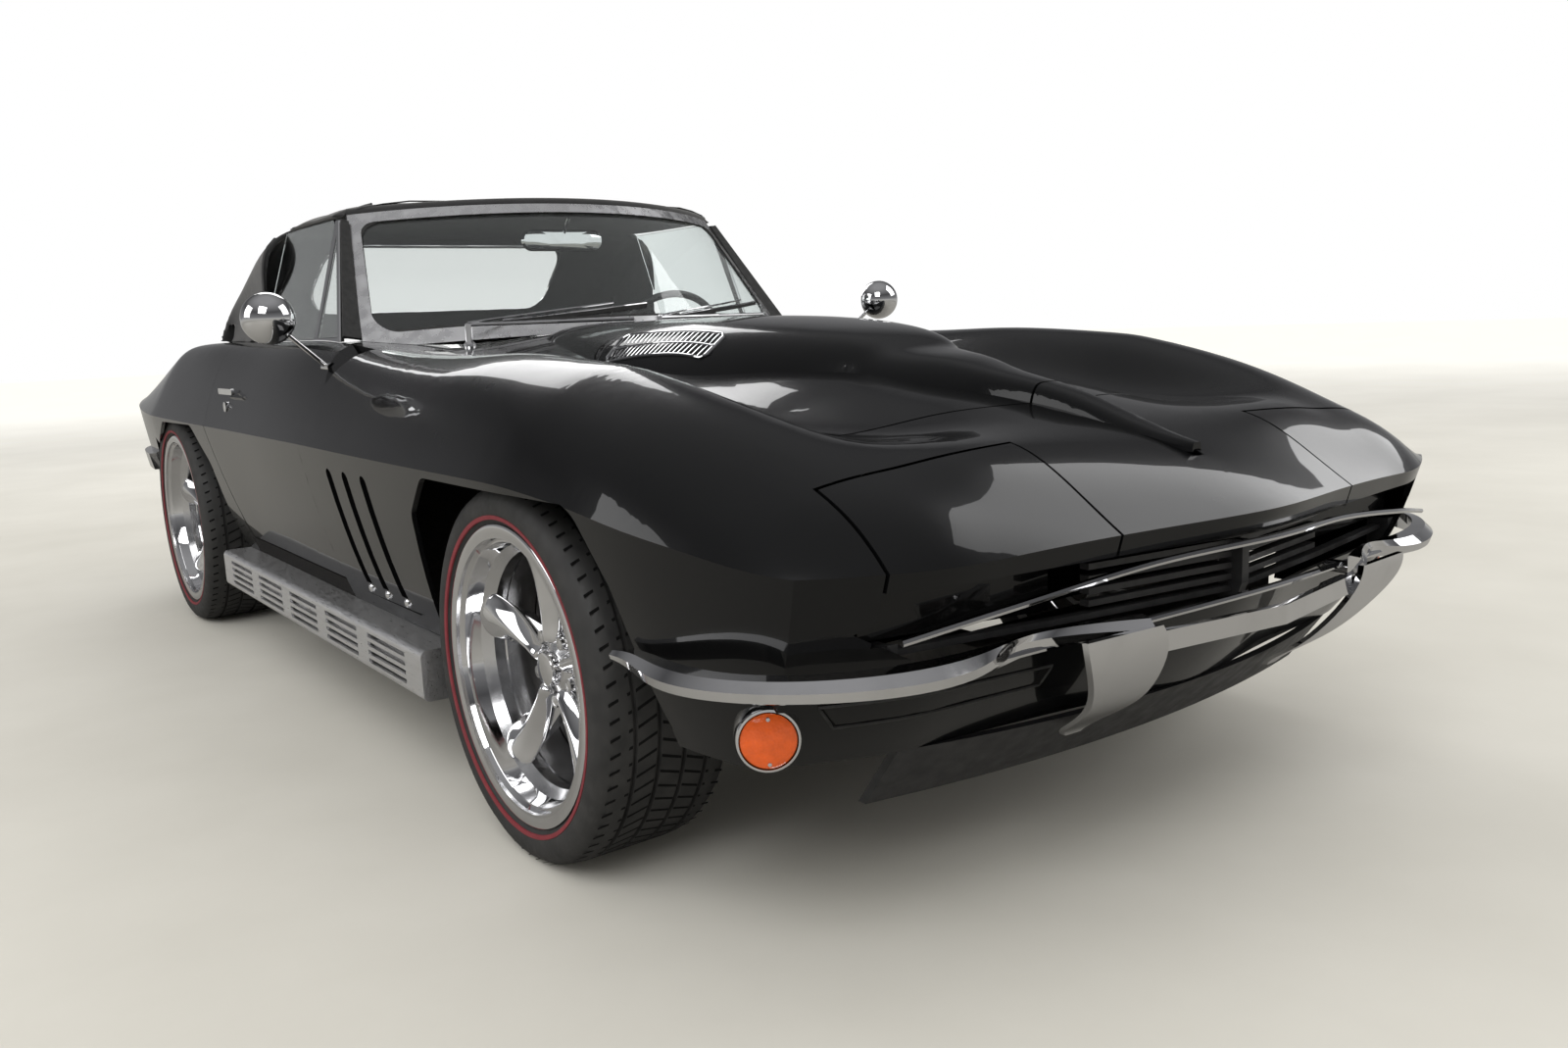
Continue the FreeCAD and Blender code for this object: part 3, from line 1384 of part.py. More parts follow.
def bumper_wire(middle, way, height, depth):
    """A blade section across the way that the bumper runs: a shelf above a face."""
    out = Z_AXIS.cross(way).normalize()
    return wire_of([middle + out * (depth * (reach - 1)) + Vector(0, 0, height * lift)
                    for reach, lift in bumper_profile_shares])


def blade(path, height, depth):
    wires = []
    for index, middle in enumerate(path):
        before = path[max(index - 1, 0)]
        after = path[min(index + 1, len(path) - 1)]
        taper = blade_end_share if index == 0 else 1.0
        wires.append(bumper_wire(middle, (after - before).normalize(), height * taper, depth * taper))
    return loft(wires, False)


def bumper_guard():
    """The plate that sweeps down and back from the inner end of a bumper half."""
    wires = []
    for z, near, far, y in guard_rows:
        behind = guard_sweep_share * (nose_line(far) - nose_line(near))
        wires.append(wire_of([Vector(near, y, z), Vector(far, y + behind, z),
                              Vector(far, y + behind + guard_thickness, z),
                              Vector(near, y + guard_thickness, z)]))
    return loft(wires, False)


def front_bumpers():
    path = [Vector(wide(side_share), along(place), bumper_middle_height * height_share)
            for place, side_share, height_share in bumper_path_shares]
    pieces = []
    inner_end = path[-1]
    outer_end = path[-2]
    irons = [rod(Vector(at.x, at.y + bumper_depth / 2, bumper_middle_height),
                 Vector(at.x, at.y + 6 * overrun, bumper_middle_height), bumper_iron_radius)
             for at in (inner_end + Vector(bumper_depth, 0, 0), outer_end)]
    half = blade(path, bumper_height, bumper_depth).fuse([bumper_guard()] + irons)
    for name, side in SIDES:
        pieces.append(mirrored(half, side))
    wires = []
    reach = inner_end.x + guard_thickness
    for x in (-reach, -reach / 2, 0, reach / 2, reach):
        low = Vector(x, nose_line(abs(x)) - bumper_depth * centre_bar_setback_share, centre_bar_low)
        wires.append(wire_of([low, low + Vector(0, skin, 0), low + Vector(0, skin, centre_bar_height),
                              low + Vector(0, 0, centre_bar_height)]))
    lip = under_cut(nose_lift_shares).translated(Vector(0, 0, -seat_gap))
    return fuse(pieces + [loft(wires)]).cut(grown.cut(lip))


def turn_signals():
    """Round lamps at the corners of the nose, turned outwards."""
    way = Vector(math.sin(turn_lamp_angle), -math.cos(turn_lamp_angle), 0)
    face = Vector(turn_lamp_side, along(turn_lamp_share), turn_lamp_height)
    lamp = rod(face - way * (3 * turn_lamp_depth), face + way * turn_lamp_depth, turn_lamp_radius)
    lamp = lamp.cut(grown)
    return Part.makeCompound([mirrored(lamp, side) for name, side in SIDES])


def chin_spoiler():
    """A bowed panel that carries the nose on down, seated under its lower edge."""
    wires = []
    top = high(nose_lift_shares[1][1]) - seat_gap
    for height, (corner, middle) in ((top, chin_top_shares), (chin_low, chin_low_shares)):
        bows = []
        for back in (0, chin_thickness):
            bows.append((Vector(-chin_half_width, along(corner) + back, height),
                         Vector(0, along(middle) + back, height),
                         Vector(chin_half_width, along(corner) + back, height)))
        (left, mid, right), (left_back, mid_back, right_back) = bows
        wires.append(Part.Wire([Part.Arc(left, mid, right).toShape(),
                                Part.makeLine(right, right_back),
                                Part.Arc(right_back, mid_back, left_back).toShape(),
                                Part.makeLine(left_back, left)]))
    return loft(wires)


# Tail fittings
tail_lamp_radius = 58.0
tail_lamp_depth = 22.0
tail_lamp_sides = (330.0, 500.0)
tail_lamp_height = 630.0
rear_bumper_low = 470.0
rear_bumper_high = 528.0
rear_bumper_inner_side = 250.0
rear_bumper_start_share = 1.42
rear_bumper_wall = 26.0


def rear_bumpers():
    band = box(Vector(rear_bumper_inner_side, along(rear_bumper_start_share), rear_bumper_low),
               Vector(half_width + overrun, overall_length, rear_bumper_high))
    outer = shrunk(block, -rear_bumper_wall)
    half = outer.cut(shrunk(block, -seat_gap)).common(band)
    return Part.makeCompound([mirrored(half, side) for name, side in SIDES])


def tail_face(x, z):
    line = Part.makeLine(Vector(x, rear_axle_y, z), Vector(x, overall_length, z))
    return block.common(line).BoundBox.YMax


def tail_lamps():
    lamps = []
    for name, side in SIDES:
        for x in tail_lamp_sides:
            face = tail_face(x, tail_lamp_height)
            start = Vector(x, face - tail_lamp_depth, tail_lamp_height)
            lamp = rod(start, start + Vector(0, 2 * tail_lamp_depth, 0), tail_lamp_radius).cut(grown)
            lamps.append(mirrored(lamp, side))
    return Part.makeCompound(lamps)


# Side exhaust covers
cover_front_share = 0.145
cover_rear_share = 0.774
cover_low = 203.0
cover_high = 305.0
cover_in_side = 762.0
cover_out_side = 862.0
cover_wall = 6.0
cover_corner = 14.0
side_pipe_radius = 22.0
slot_rows = 4
slot_columns = 5
slot_height_share = 0.52
slot_end_margin = 90.0
slot_gap = 70.0


def side_exhaust(side):
    """A slotted metal cover over the side pipe, closed round a plain pipe."""
    front = along(cover_front_share)
    rear = along(cover_rear_share)
    corner = cover_corner
    points = [Vector(cover_in_side, front, cover_low), Vector(cover_out_side, front, cover_low),
              Vector(cover_out_side, front, cover_high), Vector(cover_in_side, front, cover_high)]
    shell_out = prism(rounded_wire(points, corner), Vector(0, rear - front, 0))
    inside = [Vector(cover_in_side + cover_wall, front + cover_wall, cover_low + cover_wall),
              Vector(cover_out_side - cover_wall, front + cover_wall, cover_low + cover_wall),
              Vector(cover_out_side - cover_wall, front + cover_wall, cover_high - cover_wall),
              Vector(cover_in_side + cover_wall, front + cover_wall, cover_high - cover_wall)]
    hollow = prism(rounded_wire(inside, corner / 2), Vector(0, rear - front, 0))
    shape = shell_out.cut(hollow)
    room = cover_high - cover_low - 2 * corner
    pitch = room / slot_rows
    length = (rear - front - 2 * slot_end_margin - slot_gap * (slot_columns - 1)) / slot_columns
    slots = []
    for row in range(slot_rows):
        low = cover_low + corner + pitch * (row + (1 - slot_height_share) / 2)
        for column in range(slot_columns):
            start = front + slot_end_margin + column * (length + slot_gap)
            slots.append(box(Vector(cover_out_side - 2 * cover_wall, start, low),
                             Vector(cover_out_side + cover_wall, start + length,
                                    low + pitch * slot_height_share)))
    shape = shape.cut(slots)
    middle = (cover_low + cover_high) / 2
    pipe_side = cover_out_side - 2 * cover_wall - side_pipe_radius
    pipe = rod(Vector(pipe_side, front + cover_wall, middle), Vector(pipe_side, rear + overrun, middle),
               side_pipe_radius)
    return mirrored(shape.fuse(pipe).cut(grown), side)


wiper_arm_radius = 5.0
wiper_pivot_sides = (70.0, -430.0)
wiper_post_radius = 6.0
wiper_setback = 36.0
wiper_lift = 22.0
wiper_length = 420.0


def wipers():
    """Two wipers resting along the foot of the windshield."""
    pieces = []
    bow = cowl_corner_y - cowl_centre_y
    bow_radius = (cowl_corner_side * cowl_corner_side + bow * bow) / (2 * bow)
    for x in wiper_pivot_sides:
        stops = []
        for step in (0.0, 0.5, 1.0):
            at = x + step * wiper_length
            fall = bow_radius - math.sqrt(bow_radius * bow_radius - at * at)
            stops.append(Vector(at, cowl_centre_y - wiper_setback + fall, high(1.0) + wiper_lift))
        post = rod(stops[0] - Vector(0, 0, 6 * skin), stops[0], wiper_post_radius)
        arms = [rod(stops[0], stops[1], wiper_arm_radius), rod(stops[1], stops[2], wiper_arm_radius)]
        knee = Part.makeSphere(wiper_arm_radius, stops[1])
        pieces.append(fuse([post, knee] + arms).cut(grown))
    return Part.makeCompound(pieces)


def fuel_lid():
    return shell.common(fuel_hole(fuel_lid_radius - panel_gap))


fixed_pieces = {
    "front_body": front_body,
    "rear_body": rear_body,
    "cabin_tub": cabin_tub,
    "chassis_frame": lambda: frame_rails,
    "engine_block": engine_block,
    "front_suspension": front_suspension,
    "rear_suspension": rear_suspension,
    "hood": hood,
    "windshield_frame": windshield_frame,
    "windshield_glass": windshield_glass,
    "soft_top": soft_top,
    "top_rear_window": rear_window,
    "dashboard": dashboard,
    "steering_column": steering_column,
    "steering_wheel": steering_wheel,
    "grille": grille,
    "front_bumpers": front_bumpers,
    "turn_signals": turn_signals,
    "chin_spoiler": chin_spoiler,
    "rear_bumpers": rear_bumpers,
    "tail_lamps": tail_lamps,
    "wipers": wipers,
    "fuel_lid": fuel_lid,
}
sided_pieces = {
    "door": door,
    "door_glass": door_glass,
    "door_trim": door_trim,
    "headlamp": headlamp,
    "seat": seat,
    "side_exhaust": side_exhaust,
}
for name, make in fixed_pieces.items():
    write(name, make())
for kind, make in sided_pieces.items():
    for name, side in SIDES:
        write(kind + "_" + name, make(side))
upright = knuckle()
wheels = (("front", front_centre, front_rim_bead, front_tyre_radius, front_tyre_width),
          ("rear", rear_centre, rear_rim_bead, rear_tyre_radius, rear_tyre_width))
for name, side in SIDES:
    write("knuckle_" + name, mirrored(upright, side))
for end, centre, bead, radius, width in wheels:
    wheel = rim(centre, bead, width)
    rubber = tyre(centre, bead, radius, width)
    for name, side in SIDES:
        write("rim_" + end + "_" + name, mirrored(wheel, side))
        write("tyre_" + end + "_" + name, mirrored(rubber, side))
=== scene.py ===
import bpy
import bmesh
import math
from mathutils import Matrix, Vector
from mathutils import noise as field
from mathutils.bvhtree import BVHTree


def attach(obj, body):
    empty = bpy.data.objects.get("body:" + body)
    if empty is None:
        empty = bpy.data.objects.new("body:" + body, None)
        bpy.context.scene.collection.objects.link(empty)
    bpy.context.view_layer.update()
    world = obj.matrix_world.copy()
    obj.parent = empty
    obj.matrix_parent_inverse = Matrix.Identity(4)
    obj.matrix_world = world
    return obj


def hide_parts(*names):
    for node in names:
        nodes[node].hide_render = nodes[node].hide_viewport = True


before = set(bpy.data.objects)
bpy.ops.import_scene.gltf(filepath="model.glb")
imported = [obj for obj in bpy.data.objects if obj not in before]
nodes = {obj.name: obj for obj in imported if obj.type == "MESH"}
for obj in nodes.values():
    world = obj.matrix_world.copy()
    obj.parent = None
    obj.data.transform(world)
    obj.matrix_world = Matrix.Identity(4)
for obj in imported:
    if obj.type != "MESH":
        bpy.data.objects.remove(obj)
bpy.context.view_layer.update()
scene = bpy.context.scene
scene.view_settings.view_transform = "Standard"


# Camera: the photograph's place, direction and lens
def photo_camera():
    yaw, pitch, roll = (math.radians(v) for v in (36.759, -9.469, -2.384))
    forward = Vector((math.sin(yaw) * math.cos(pitch), math.cos(yaw) * math.cos(pitch), math.sin(pitch)))
    right = forward.cross(Vector((0, 0, 1))).normalized()
    up = right.cross(forward)
    across = right * math.cos(roll) + up * math.sin(roll)
    rise = up * math.cos(roll) - right * math.sin(roll)
    data = bpy.data.cameras.new("photo_camera")
    data.lens = 28.02
    data.sensor_width = 36.0
    data.sensor_fit = "HORIZONTAL"
    data.clip_end = 100.0
    camera = bpy.data.objects.new("photo_camera", data)
    scene.collection.objects.link(camera)
    camera.matrix_world = Matrix.Translation((-1.6536, -3.1831, 0.9018)) @ Matrix(
        (across, rise, -forward)).transposed().to_4x4()
    scene.camera = camera


photo_camera()


# Materials
def new_material(name):
    material = bpy.data.materials.new(name)
    material.use_nodes = True
    tree = material.node_tree
    shader = tree.nodes["Principled BSDF"]
    return material, tree, shader


def add(tree, kind, **values):
    node = tree.nodes.new(kind)
    for key, value in values.items():
        setattr(node, key, value)
    return node


def coords(tree, scale=(1, 1, 1)):
    source = add(tree, "ShaderNodeTexCoord")
    mapping = add(tree, "ShaderNodeMapping")
    mapping.inputs["Scale"].default_value = scale
    tree.links.new(source.outputs["Object"], mapping.inputs["Vector"])
    return mapping.outputs["Vector"]


def noise(tree, vector, scale, detail=3.0):
    node = add(tree, "ShaderNodeTexNoise")
    node.inputs["Scale"].default_value = scale
    node.inputs["Detail"].default_value = detail
    node.inputs["Roughness"].default_value = 0.55
    tree.links.new(vector, node.inputs["Vector"])
    return node.outputs["Fac"]


def ramp(tree, factor, stops):
    node = add(tree, "ShaderNodeValToRGB")
    band = node.color_ramp
    while len(band.elements) < len(stops):
        band.elements.new(0.5)
    for element, (place, colour) in zip(band.elements, stops):
        element.position = place
        if isinstance(colour, (int, float)):
            colour = (colour, colour, colour)
        element.color = (*colour[:3], 1.0)
    tree.links.new(factor, node.inputs["Fac"])
    return node.outputs["Color"]


def vary(tree, socket, vector, scale, detail, *stops):
    """Noise through a ramp of (place, value) stops drives a socket."""
    tree.links.new(ramp(tree, noise(tree, vector, scale, detail), stops), socket)


def bump(tree, shader, height, strength, distance, before=None):
    node = add(tree, "ShaderNodeBump")
    node.inputs["Strength"].default_value = strength
    node.inputs["Distance"].default_value = distance
    tree.links.new(height, node.inputs["Height"])
    if before is not None:
        tree.links.new(before, node.inputs["Normal"])
    tree.links.new(node.outputs["Normal"], shader.inputs["Normal"])
    return node.outputs["Normal"]


def plain(name, low, high, rough, metallic, scale, bumps, specular=0.5):
    """A material whose colour and roughness vary with noise, with layers of bump."""
    material, tree, shader = new_material(name)
    vector = coords(tree)
    vary(tree, shader.inputs["Base Color"], vector, scale, 5.0, (0.3, low), (0.7, high))
    vary(tree, shader.inputs["Roughness"], vector, scale * 0.6, 4.0, (0.3, rough[0]), (0.7, rough[1]))
    shader.inputs["Metallic"].default_value = metallic
    shader.inputs["Specular IOR Level"].default_value = specular
    before = None
    for size, strength, distance in bumps:
        before = bump(tree, shader, noise(tree, vector, size), strength, distance, before)
    return material


def car_paint():
    """Black paint under a clear coat, with a trace of orange peel."""
    material, tree, shader = new_material("black_paint")
    vector = coords(tree)
    vary(tree, shader.inputs["Base Color"], vector, 2.0, 3.0,
         (0.3, (0.0024, 0.0025, 0.0028)), (0.7, (0.0036, 0.0037, 0.0040)))
    vary(tree, shader.inputs["Roughness"], vector, 3.0, 4.0, (0.3, 0.22), (0.7, 0.28))
    shader.inputs["Specular IOR Level"].default_value = 0.08
    shader.inputs["Coat Weight"].default_value = 1.0
    shader.inputs["Coat Roughness"].default_value = 0.02
    shader.inputs["Coat IOR"].default_value = 1.34
    bump(tree, shader, noise(tree, vector, 260.0, 2.0), 0.015, 0.0003)
    return material


def metal(name, tone, rough, scratch, stretch=(1, 1, 1), dirt=None):
    """Bare or plated metal, a little duller where it is dirty."""
    material, tree, shader = new_material(name)
    vector = coords(tree, stretch)
    dirt_low = dirt or tuple(v * 0.92 for v in tone)
    vary(tree, shader.inputs["Base Color"], vector, 9.0, 6.0, (0.32, dirt_low), (0.52, tone))
    vary(tree, shader.inputs["Roughness"], vector, 30.0, 6.0, (0.3, rough * 0.7), (0.7, rough * 1.5))
    shader.inputs["Metallic"].default_value = 1.0
    bump(tree, shader, noise(tree, vector, 420.0, 2.0), scratch, 0.0003)
    return material


def cloth():
    """Black canvas: two crossed fine waves for the weave, lint and fading."""
    material, tree, shader = new_material("top_canvas")
    vector = coords(tree)
    heights = []
    for axis in ("X", "Y"):
        wave = add(tree, "ShaderNodeTexWave", wave_type="BANDS", bands_direction=axis)
        wave.inputs["Scale"].default_value = 190.0
        wave.inputs["Distortion"].default_value = 0.6
        wave.inputs["Detail"].default_value = 1.0
        tree.links.new(vector, wave.inputs["Vector"])
        heights.append(wave.outputs["Fac"])
    weave = add(tree, "ShaderNodeMath", operation="MAXIMUM")
    tree.links.new(heights[0], weave.inputs[0])
    tree.links.new(heights[1], weave.inputs[1])
    vary(tree, shader.inputs["Base Color"], vector, 5.0, 6.0,
         (0.3, (0.012, 0.012, 0.013)), (0.72, (0.024, 0.024, 0.026)))
    shader.inputs["Roughness"].default_value = 0.88
    shader.inputs["Sheen Weight"].default_value = 0.25
    shader.inputs["Sheen Roughness"].default_value = 0.5
    first = bump(tree, shader, weave.outputs[0], 0.25, 0.0006)
    bump(tree, shader, noise(tree, vector, 14.0, 3.0), 0.12, 0.004, first)
    return material


def leather(name, low, high, grain):
    """Grained hide or vinyl with soft creases."""
    material, tree, shader = new_material(name)
    vector = coords(tree)
    cells = add(tree, "ShaderNodeTexVoronoi", feature="DISTANCE_TO_EDGE")
    cells.inputs["Scale"].default_value = grain
    tree.links.new(vector, cells.inputs["Vector"])
    vary(tree, shader.inputs["Base Color"], vector, 12.0, 5.0, (0.3, low), (0.7, high))
    vary(tree, shader.inputs["Roughness"], vector, 20.0, 4.0, (0.3, 0.42), (0.7, 0.58))
    first = bump(tree, shader, cells.outputs["Distance"], 0.35, 0.0006)
    bump(tree, shader, noise(tree, vector, 30.0, 3.0), 0.15, 0.002, first)
    return material


def glass(name, tint, rough=0.0):
    """A clear pane with a trace of smear."""
    material, tree, shader = new_material(name)
    vector = coords(tree)
    smeared = tuple(v * 0.985 for v in tint)
    vary(tree, shader.inputs["Base Color"], vector, 6.0, 4.0, (0.2, smeared), (0.8, tint))
    vary(tree, shader.inputs["Roughness"], vector, 25.0, 5.0, (0.4, rough), (0.8, rough + 0.02))
    shader.inputs["Transmission Weight"].default_value = 1.0
    shader.inputs["IOR"].default_value = 1.45
    return material


def lens(name, tone, ribs):
    """A moulded lamp lens with an inner pattern."""
    material, tree, shader = new_material(name)
    vector = coords(tree)
    shaded = tuple(v * 0.8 for v in tone)
    vary(tree, shader.inputs["Base Color"], vector, 60.0, 3.0, (0.3, shaded), (0.7, tone))
    shader.inputs["Roughness"].default_value = 0.12
    shader.inputs["Coat Weight"].default_value = 0.6
    shader.inputs["Coat Roughness"].default_value = 0.03
    cells = add(tree, "ShaderNodeTexVoronoi", feature="F1")
    cells.inputs["Scale"].default_value = ribs
    tree.links.new(vector, cells.inputs["Vector"])
    bump(tree, shader, cells.outputs["Distance"], 0.35, 0.0015)
    return material


def tyre_rubber():
    """Rubber with fine moulding marks."""
    material, tree, shader = new_material("tyre_rubber")
    vector = coords(tree)
    vary(tree, shader.inputs["Base Color"], vector, 30.0, 6.0,
         (0.3, (0.014, 0.014, 0.014)), (0.75, (0.030, 0.029, 0.028)))
    vary(tree, shader.inputs["Roughness"], vector, 60.0, 4.0, (0.3, 0.55), (0.7, 0.75))
    bump(tree, shader, noise(tree, vector, 500.0, 3.0), 0.12, 0.0006)
    return material


paint = car_paint()
chrome = metal("bright_chrome", (0.80, 0.80, 0.81), 0.045, 0.01)
satin = metal("satin_trim", (0.86, 0.86, 0.87), 0.26, 0.0, dirt=(0.84, 0.84, 0.85))
polished = metal("polished_alloy", (0.72, 0.72, 0.73), 0.16, 0.03)
brushed = metal("brushed_cover", (0.80, 0.80, 0.81), 0.36, 0.0, (14, 1, 14), dirt=(0.76, 0.76, 0.77))
steel = metal("bare_steel", (0.24, 0.235, 0.23), 0.42, 0.15, dirt=(0.12, 0.10, 0.085))
black_steel = plain("frame_black", (0.018, 0.017, 0.016), (0.05, 0.046, 0.042), (0.45, 0.7), 0.0, 22.0,
                    ((120.0, 0.2, 0.001),))
cast_block = plain("engine_paint", (0.05, 0.05, 0.05), (0.11, 0.11, 0.10), (0.5, 0.75), 0.2, 18.0,
                   ((80.0, 0.35, 0.002),))
rubber = tyre_rubber()
red_ring = plain("tyre_red_ring", (0.16, 0.012, 0.020), (0.20, 0.018, 0.026), (0.5, 0.65), 0.0, 60.0,
                 ((400.0, 0.1, 0.0004),))
seal = plain("seal_rubber", (0.012, 0.012, 0.012), (0.024, 0.024, 0.024), (0.6, 0.8), 0.0, 80.0,
             ((300.0, 0.15, 0.0008),))
canvas = cloth()
vinyl_black = leather("trim_vinyl", (0.012, 0.012, 0.013), (0.022, 0.021, 0.022), 330.0)
seat_hide = leather("seat_leather", (0.014, 0.013, 0.013), (0.030, 0.027, 0.026), 260.0)
plastic = plain("black_plastic", (0.012, 0.012, 0.013), (0.022, 0.022, 0.023), (0.35, 0.55), 0.0, 50.0,
                ((420.0, 0.12, 0.0006),))
carpet = plain("carpet_coat", (0.010, 0.010, 0.010), (0.024, 0.022, 0.021), (0.9, 1.0), 0.0, 300.0,
               ((900.0, 0.8, 0.003), (70.0, 0.3, 0.003)), specular=0.15)
clear_glass = glass("window_glass", (0.90, 0.94, 0.93))
clear_vinyl = glass("rear_pane_vinyl", (0.86, 0.87, 0.86), 0.04)
amber = lens("amber_lens", (0.72, 0.105, 0.010), 240.0)
red_lens = lens("red_lens", (0.42, 0.012, 0.010), 260.0)
white_lens = lens("clear_lens", (0.70, 0.70, 0.68), 260.0)

node_materials = {
    "front_body": paint, "rear_body": paint, "hood": paint, "fuel_lid": paint,
    "door": paint, "headlamp": paint,
    "cabin_tub": carpet, "chassis_frame": black_steel, "engine_block": cast_block,
    "front_suspension": black_steel, "rear_suspension": black_steel, "knuckle": steel,
    "windshield_frame": satin, "windshield_glass": clear_glass, "door_glass": clear_glass,
    "soft_top": canvas, "top_rear_window": clear_vinyl, "dashboard": vinyl_black,
    "steering_column": plastic, "steering_wheel": vinyl_black, "grille": plastic,
    "front_bumpers": chrome, "rear_bumpers": chrome, "turn_signals": amber,
    "chin_spoiler": plastic, "tail_lamps": red_lens, "wipers": chrome, "door_trim": chrome,
    "seat": seat_hide, "side_exhaust": brushed, "rim_front": polished, "rim_rear": polished,
    "tyre_front": rubber, "tyre_rear": rubber,
}


def base_name(name):
    """A node's name without its side."""
    for ending in ("_left", "_right"):
        if name.endswith(ending):
            return name[: -len(ending)]
    return name


for name, node in nodes.items():
    node.data.materials.clear()
    node.data.materials.append(node_materials[base_name(name)])


# Mesh helpers
def piece(name, points, faces, material, body="body", sharp=0.6):
    """A smooth mesh piece that rides on a body; edges sharper than an angle stay crisp."""
    mesh = bpy.data.meshes.new(name)
    mesh.from_pydata([tuple(point) for point in points], [], faces)
    shape = bmesh.new()
    shape.from_mesh(mesh)
    bmesh.ops.remove_doubles(shape, verts=shape.verts, dist=1e-6)
    bmesh.ops.recalc_face_normals(shape, faces=shape.faces)
    for face in shape.faces:
        face.smooth = True
    for edge in shape.edges:
        if len(edge.link_faces) == 2 and edge.calc_face_angle(0.0) > sharp:
            edge.smooth = False
    shape.to_mesh(mesh)
    shape.free()
    mesh.materials.append(material)
    obj = bpy.data.objects.new(name, mesh)
    scene.collection.objects.link(obj)
    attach(obj, body)
    return obj


def joined(parts):
    """One list of points and faces from several."""
    points, faces = [], []
    for some_points, some_faces in parts:
        start = len(points)
        points.extend(some_points)
        faces.extend(tuple(start + index for index in face) for face in some_faces)
    return points, faces


def ring_faces(count, size, endless=False, loop=True):
    """Faces between rings of points: capped at both ends, or endless from the last to the first."""
    faces = []
    for row in range(count if endless else count - 1):
        here, there = row * size, (row + 1) % count * size
        for step in range(size if loop else size - 1):
            other = (step + 1) % size
            faces.append((here + step, here + other, there + other, there + step))
    if not endless:
        faces.append(tuple(range(size)))
        faces.append(tuple(range((count - 1) * size, count * size)))
    return faces


def swept(path, outline, up=Vector((0, 0, 1)), closed=False):
    """An outline of (across, up) pairs carried along a path."""
    path = [Vector(point) for point in path]
    count = len(path)
    points = []
    for index, point in enumerate(path):
        before = path[index - 1] if index or closed else point
        after = path[(index + 1) % count] if index + 1 < count or closed else point
        way = (after - before).normalized()
        across = way.cross(up).normalized()
        rise = across.cross(way)
        points.extend(point + across * a + rise * b for a, b in outline)
    return points, ring_faces(count, len(outline), closed)


def round_outline(radius, sides=12, squash=1.0):
    return [(radius * math.cos(math.tau * k / sides), squash * radius * math.sin(math.tau * k / sides))
            for k in range(sides)]


def turned(profile, centre, axis, steps=64, closed=True):
    """A profile of (along the axis, radius) pairs turned about an axis through a centre."""
    centre, axis = Vector(centre), Vector(axis).normalized()
    side = axis.orthogonal().normalized()
    other = axis.cross(side)
    points = []
    for step in range(steps):
        angle = math.tau * step / steps
        way = side * math.cos(angle) + other * math.sin(angle)
        points.extend(centre + axis * along + way * radius for along, radius in profile)
    return points, ring_faces(steps, len(profile), True, closed)


def smooth_path(stops, steps=8):
    """Points of a smooth curve through some stops."""
    stops = [Vector(stop) for stop in stops]
    ends = [2 * stops[0] - stops[1]] + stops + [2 * stops[-1] - stops[-2]]
    path = []
    for index in range(1, len(ends) - 2):
        a, b, c, d = ends[index - 1:index + 3]
        for step in range(steps):
            t = step / steps
            path.append(0.5 * (2 * b + (c - a) * t + (2 * a - 5 * b + 4 * c - d) * t * t
                               + (3 * b - a - 3 * c + d) * t ** 3))
    path.append(stops[-1])
    return path


trees = {}


def tree_of(name):
    """A search tree of a CAD node's faces, made once."""
    if name not in trees:
        node = nodes[name]
        mesh = node.data
        matrix = node.matrix_world
        trees[name] = BVHTree.FromPolygons([matrix @ v.co for v in mesh.vertices],
                                           [tuple(face.vertices) for face in mesh.polygons])
    return trees[name]


def hit(names, origin, way):
    """The first point that a ray meets on some CAD nodes, and the face's direction there."""
    best = None
    for name in names:
        point, normal, face, distance = tree_of(name).ray_cast(Vector(origin), Vector(way).normalized())
        if point is not None and (best is None or distance < best[2]):
            best = (point, normal, distance)
    return (best[0], best[1]) if best else (None, None)


def cast_path(names, stops, way, lift):
    """Points where rays from some stops meet the CAD nodes, raised a little off them."""
    path = []
    for stop in stops:
        spot, normal = hit(names, stop, way)
        if spot is not None:
            if normal.dot(Vector(way)) > 0:
                normal = -normal
            path.append(spot + normal * lift)
    return path


SIDES = (("left", 1), ("right", -1))


# Wheels: the hub's distance from the middle and place along Y, then tyre radius, bead radius and width
wheel_sizes = {
    "front": (0.7215, -1.304, 0.327, 0.2413, 0.245),
    "rear": (0.7315, 1.185, 0.342, 0.254, 0.257),
}
lip_inset = 0.008
spoke_count = 5
nut_circle = 0.0603


def tyre_profile(radius, bead, width):
    """The section of a tyre: beads, sidewalls, shoulders and a tread with grooves."""
    half = width / 2
    groove, deep = 0.0085, 0.007
    bulge = bead + 0.48 * (radius - bead)
    outer = [(-half + 0.024, bead + 0.004), (-half + 0.012, bead + 0.018), (-half + 0.004, bead + 0.030),
             (-half, bulge), (-half + 0.002, radius - 0.026), (-half + 0.009, radius - 0.013),
             (-half + 0.022, radius - 0.004), (-half + 0.036, radius - 0.001)]
    rib_places = (-0.27, -0.095, 0.095, 0.27)
    tread = []
    for place in rib_places:
        at = place * width
        tread.extend([(at - groove / 2, radius), (at - groove / 3, radius - deep),
                      (at + groove / 3, radius - deep), (at + groove / 2, radius)])
    mirrored = [(-a, r) for a, r in reversed(outer)]
    lining = [(half - 0.030, bead + 0.006), (half - 0.014, bulge), (half - 0.022, radius - 0.020),
              (-half + 0.022, radius - 0.020), (-half + 0.014, bulge), (-half + 0.030, bead + 0.006)]
    return outer + tread + mirrored + lining


